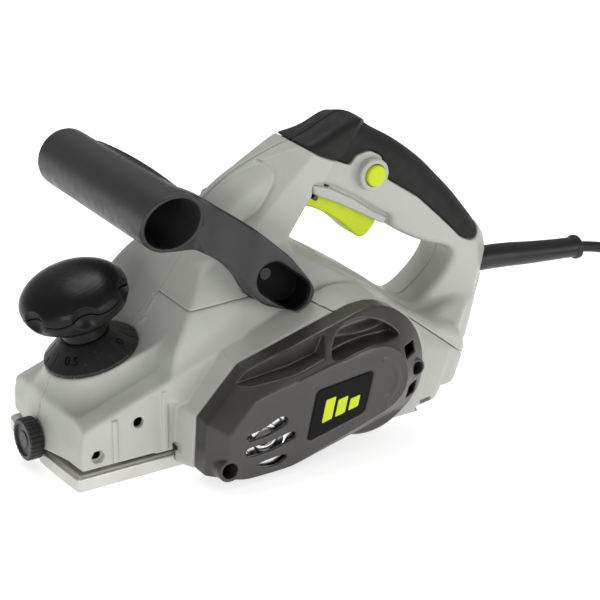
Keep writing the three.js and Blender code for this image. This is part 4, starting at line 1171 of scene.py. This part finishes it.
def ribbed_wheel(f, centre, radius):
    """A pulley's rim with belt grooves, and the distance from its axis."""
    reach = np.hypot(f.x - centre[0], f.z - centre[1])
    rim = reach - radius + 0.5 * np.abs(((f.y + 64) / 2.4) % 1 - 0.5) * 2
    return corner(rim, np.abs(f.y + 71) - 6.9, 0.5), reach


def make_pulleys():
    f = Field((72, -82, 5), (111, -63, 44), 0.35)
    pulley, reach = ribbed_wheel(f, DRUM, 14.9)
    flange = corner(reach - 17.6 + 0 * f.y, np.abs(f.y + 79.3) - 1.5, 0.5)
    pulley = either(pulley, flange, 0.4)
    hollow = both(np.abs(reach - 10.2) - 2.4 + 0 * f.y, np.abs(f.y + 81) - 1, 0.6)
    pulley = without(pulley, hollow, 0.8)
    for k in range(6):
        x = DRUM[0] + 10.2 * math.cos(k * math.pi / 3)
        z = DRUM[1] + 10.2 * math.sin(k * math.pi / 3)
        pulley = without(pulley, rod(f, x, z, 1, -80, -75.5, 0.1), 0.4)
    pulley = without(pulley, rod(f, *DRUM, 5.3, -90, -50, 0.1), 0.3)
    build("drum_pulley_wheel", f, pulley, "drum", "bright_steel", BRIGHT_STEEL, "drum_pulley")

    f = Field((150, -79, 30), (173, -63, 53), 0.35)
    pulley, _ = ribbed_wheel(f, MOTOR, 9.9)
    pulley = without(pulley, rod(f, *MOTOR, 4.3, -90, -50, 0.1), 0.3)
    build("motor_pulley_wheel", f, pulley, "rotor", "bright_steel", BRIGHT_STEEL, "motor_pulley")


INNER_PIECES = [
    (STEEL, [
        "trigger_spring", "rear_sole_screw_1", "rear_sole_screw_2", "depth_spring", "blade_clamp_1",
        "blade_clamp_2", "clamp_bolt_1", "clamp_bolt_2", "clamp_bolt_3", "clamp_bolt_4",
        "drum_bearing_left", "drum_bearing_right", "drum_stub_axle", "motor_shaft", "armature_core",
        "stator", "motor_bearing_left", "motor_bearing_right", "guide_clamp_bolt",
    ]),
    (DARK_STEEL, ["trigger_pin", "cover_screw_1", "cover_screw_2", "housing_screw_1", "housing_screw_2",
                  "housing_screw_3"]),
    (BRIGHT_STEEL, ["cutter_blade_1", "cutter_blade_2"]),
    (COPPER, ["commutator"]),
    (CARBON, ["carbon_brush_1", "carbon_brush_2"]),
    (BLACK_PLASTIC, ["switch_body", "fan", "brush_holder", "adapter_screw"]),
    (SOFT_RUBBER, ["drive_belt"]),
]


def finish_inner_pieces():
    """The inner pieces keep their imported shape, with broken edges and their own finishes."""
    for finish, names in INNER_PIECES:
        for name in names:
            piece = bpy.data.objects[name]
            piece.data.materials.clear()
            piece.data.materials.append(finish)
            bevel = piece.modifiers.new("broken_edges", "BEVEL")
            bevel.width = 0.2 * MM
            bevel.segments = 2
            bevel.limit_method = "ANGLE"
            bevel.angle_limit = math.radians(28)
            bevel.harden_normals = True


# ---- floor and light

FLOOR_GLOW = 0.62
FLOOR_HALF = 6
FLOOR_LEVEL = -0.0002
WORLD_STRENGTH = 0.35
LIGHT_TARGET = (0, 0, 0.06)
# Name, place and size in metres, power in watts
LIGHTS = [
    ("side", (0.75, -1.5, 0.35), (1.2, 0.6), 8),
    ("front", (-1.2, -1.0, 0.4), (0.7, 0.5), 5),
    ("top", (0.1, 0.5, 1.4), (0.8, 0.8), 7.5),
]


def make_floor():
    mesh = bpy.data.meshes.new("floor")
    corners = [(x * FLOOR_HALF, y * FLOOR_HALF, FLOOR_LEVEL) for x, y in ((-1, -1), (1, -1), (1, 1), (-1, 1))]
    mesh.from_pydata(corners, [], [(0, 1, 2, 3)])
    floor = bpy.data.objects.new("floor", mesh)
    link(floor)
    made = bpy.data.materials.new("pale_floor")
    made.use_nodes = True
    shader = made.node_tree.nodes["Principled BSDF"]
    settle(shader, {
        "Base Color": (0.94, 0.94, 0.94, 1), "Roughness": 0.9, "Specular IOR Level": 0.1,
        "Emission Color": (1, 1, 1, 1), "Emission Strength": FLOOR_GLOW,
    })
    floor.data.materials.append(made)


def make_light(name, place, size, power):
    data = bpy.data.lights.new(name, "AREA")
    data.shape = "RECTANGLE"
    data.size, data.size_y = size
    data.energy = power
    lamp = bpy.data.objects.new(name, data)
    lamp.location = place
    lamp.rotation_euler = (Vector(LIGHT_TARGET) - Vector(place)).to_track_quat("-Z", "Y").to_euler()
    link(lamp)


def make_studio():
    world = bpy.data.worlds.new("studio")
    bpy.context.scene.world = world
    world.use_nodes = True
    background = world.node_tree.nodes["Background"]
    settle(background, {"Color": (1, 1, 1, 1), "Strength": WORLD_STRENGTH})
    for light in LIGHTS:
        make_light(*light)
    bpy.context.scene.view_settings.view_transform = "Standard"
    bpy.context.scene.view_settings.look = "None"


make_housing()
make_grips()
make_trigger()
make_belt_cover()
make_badge()
make_dust_adapter()
make_depth_knob()
make_dial_numbers()
make_shoe()
make_clamp_knob()
cord_pieces = make_cord_fittings()
make_drum()
make_pulleys()
finish_inner_pieces()
make_floor()
make_studio()
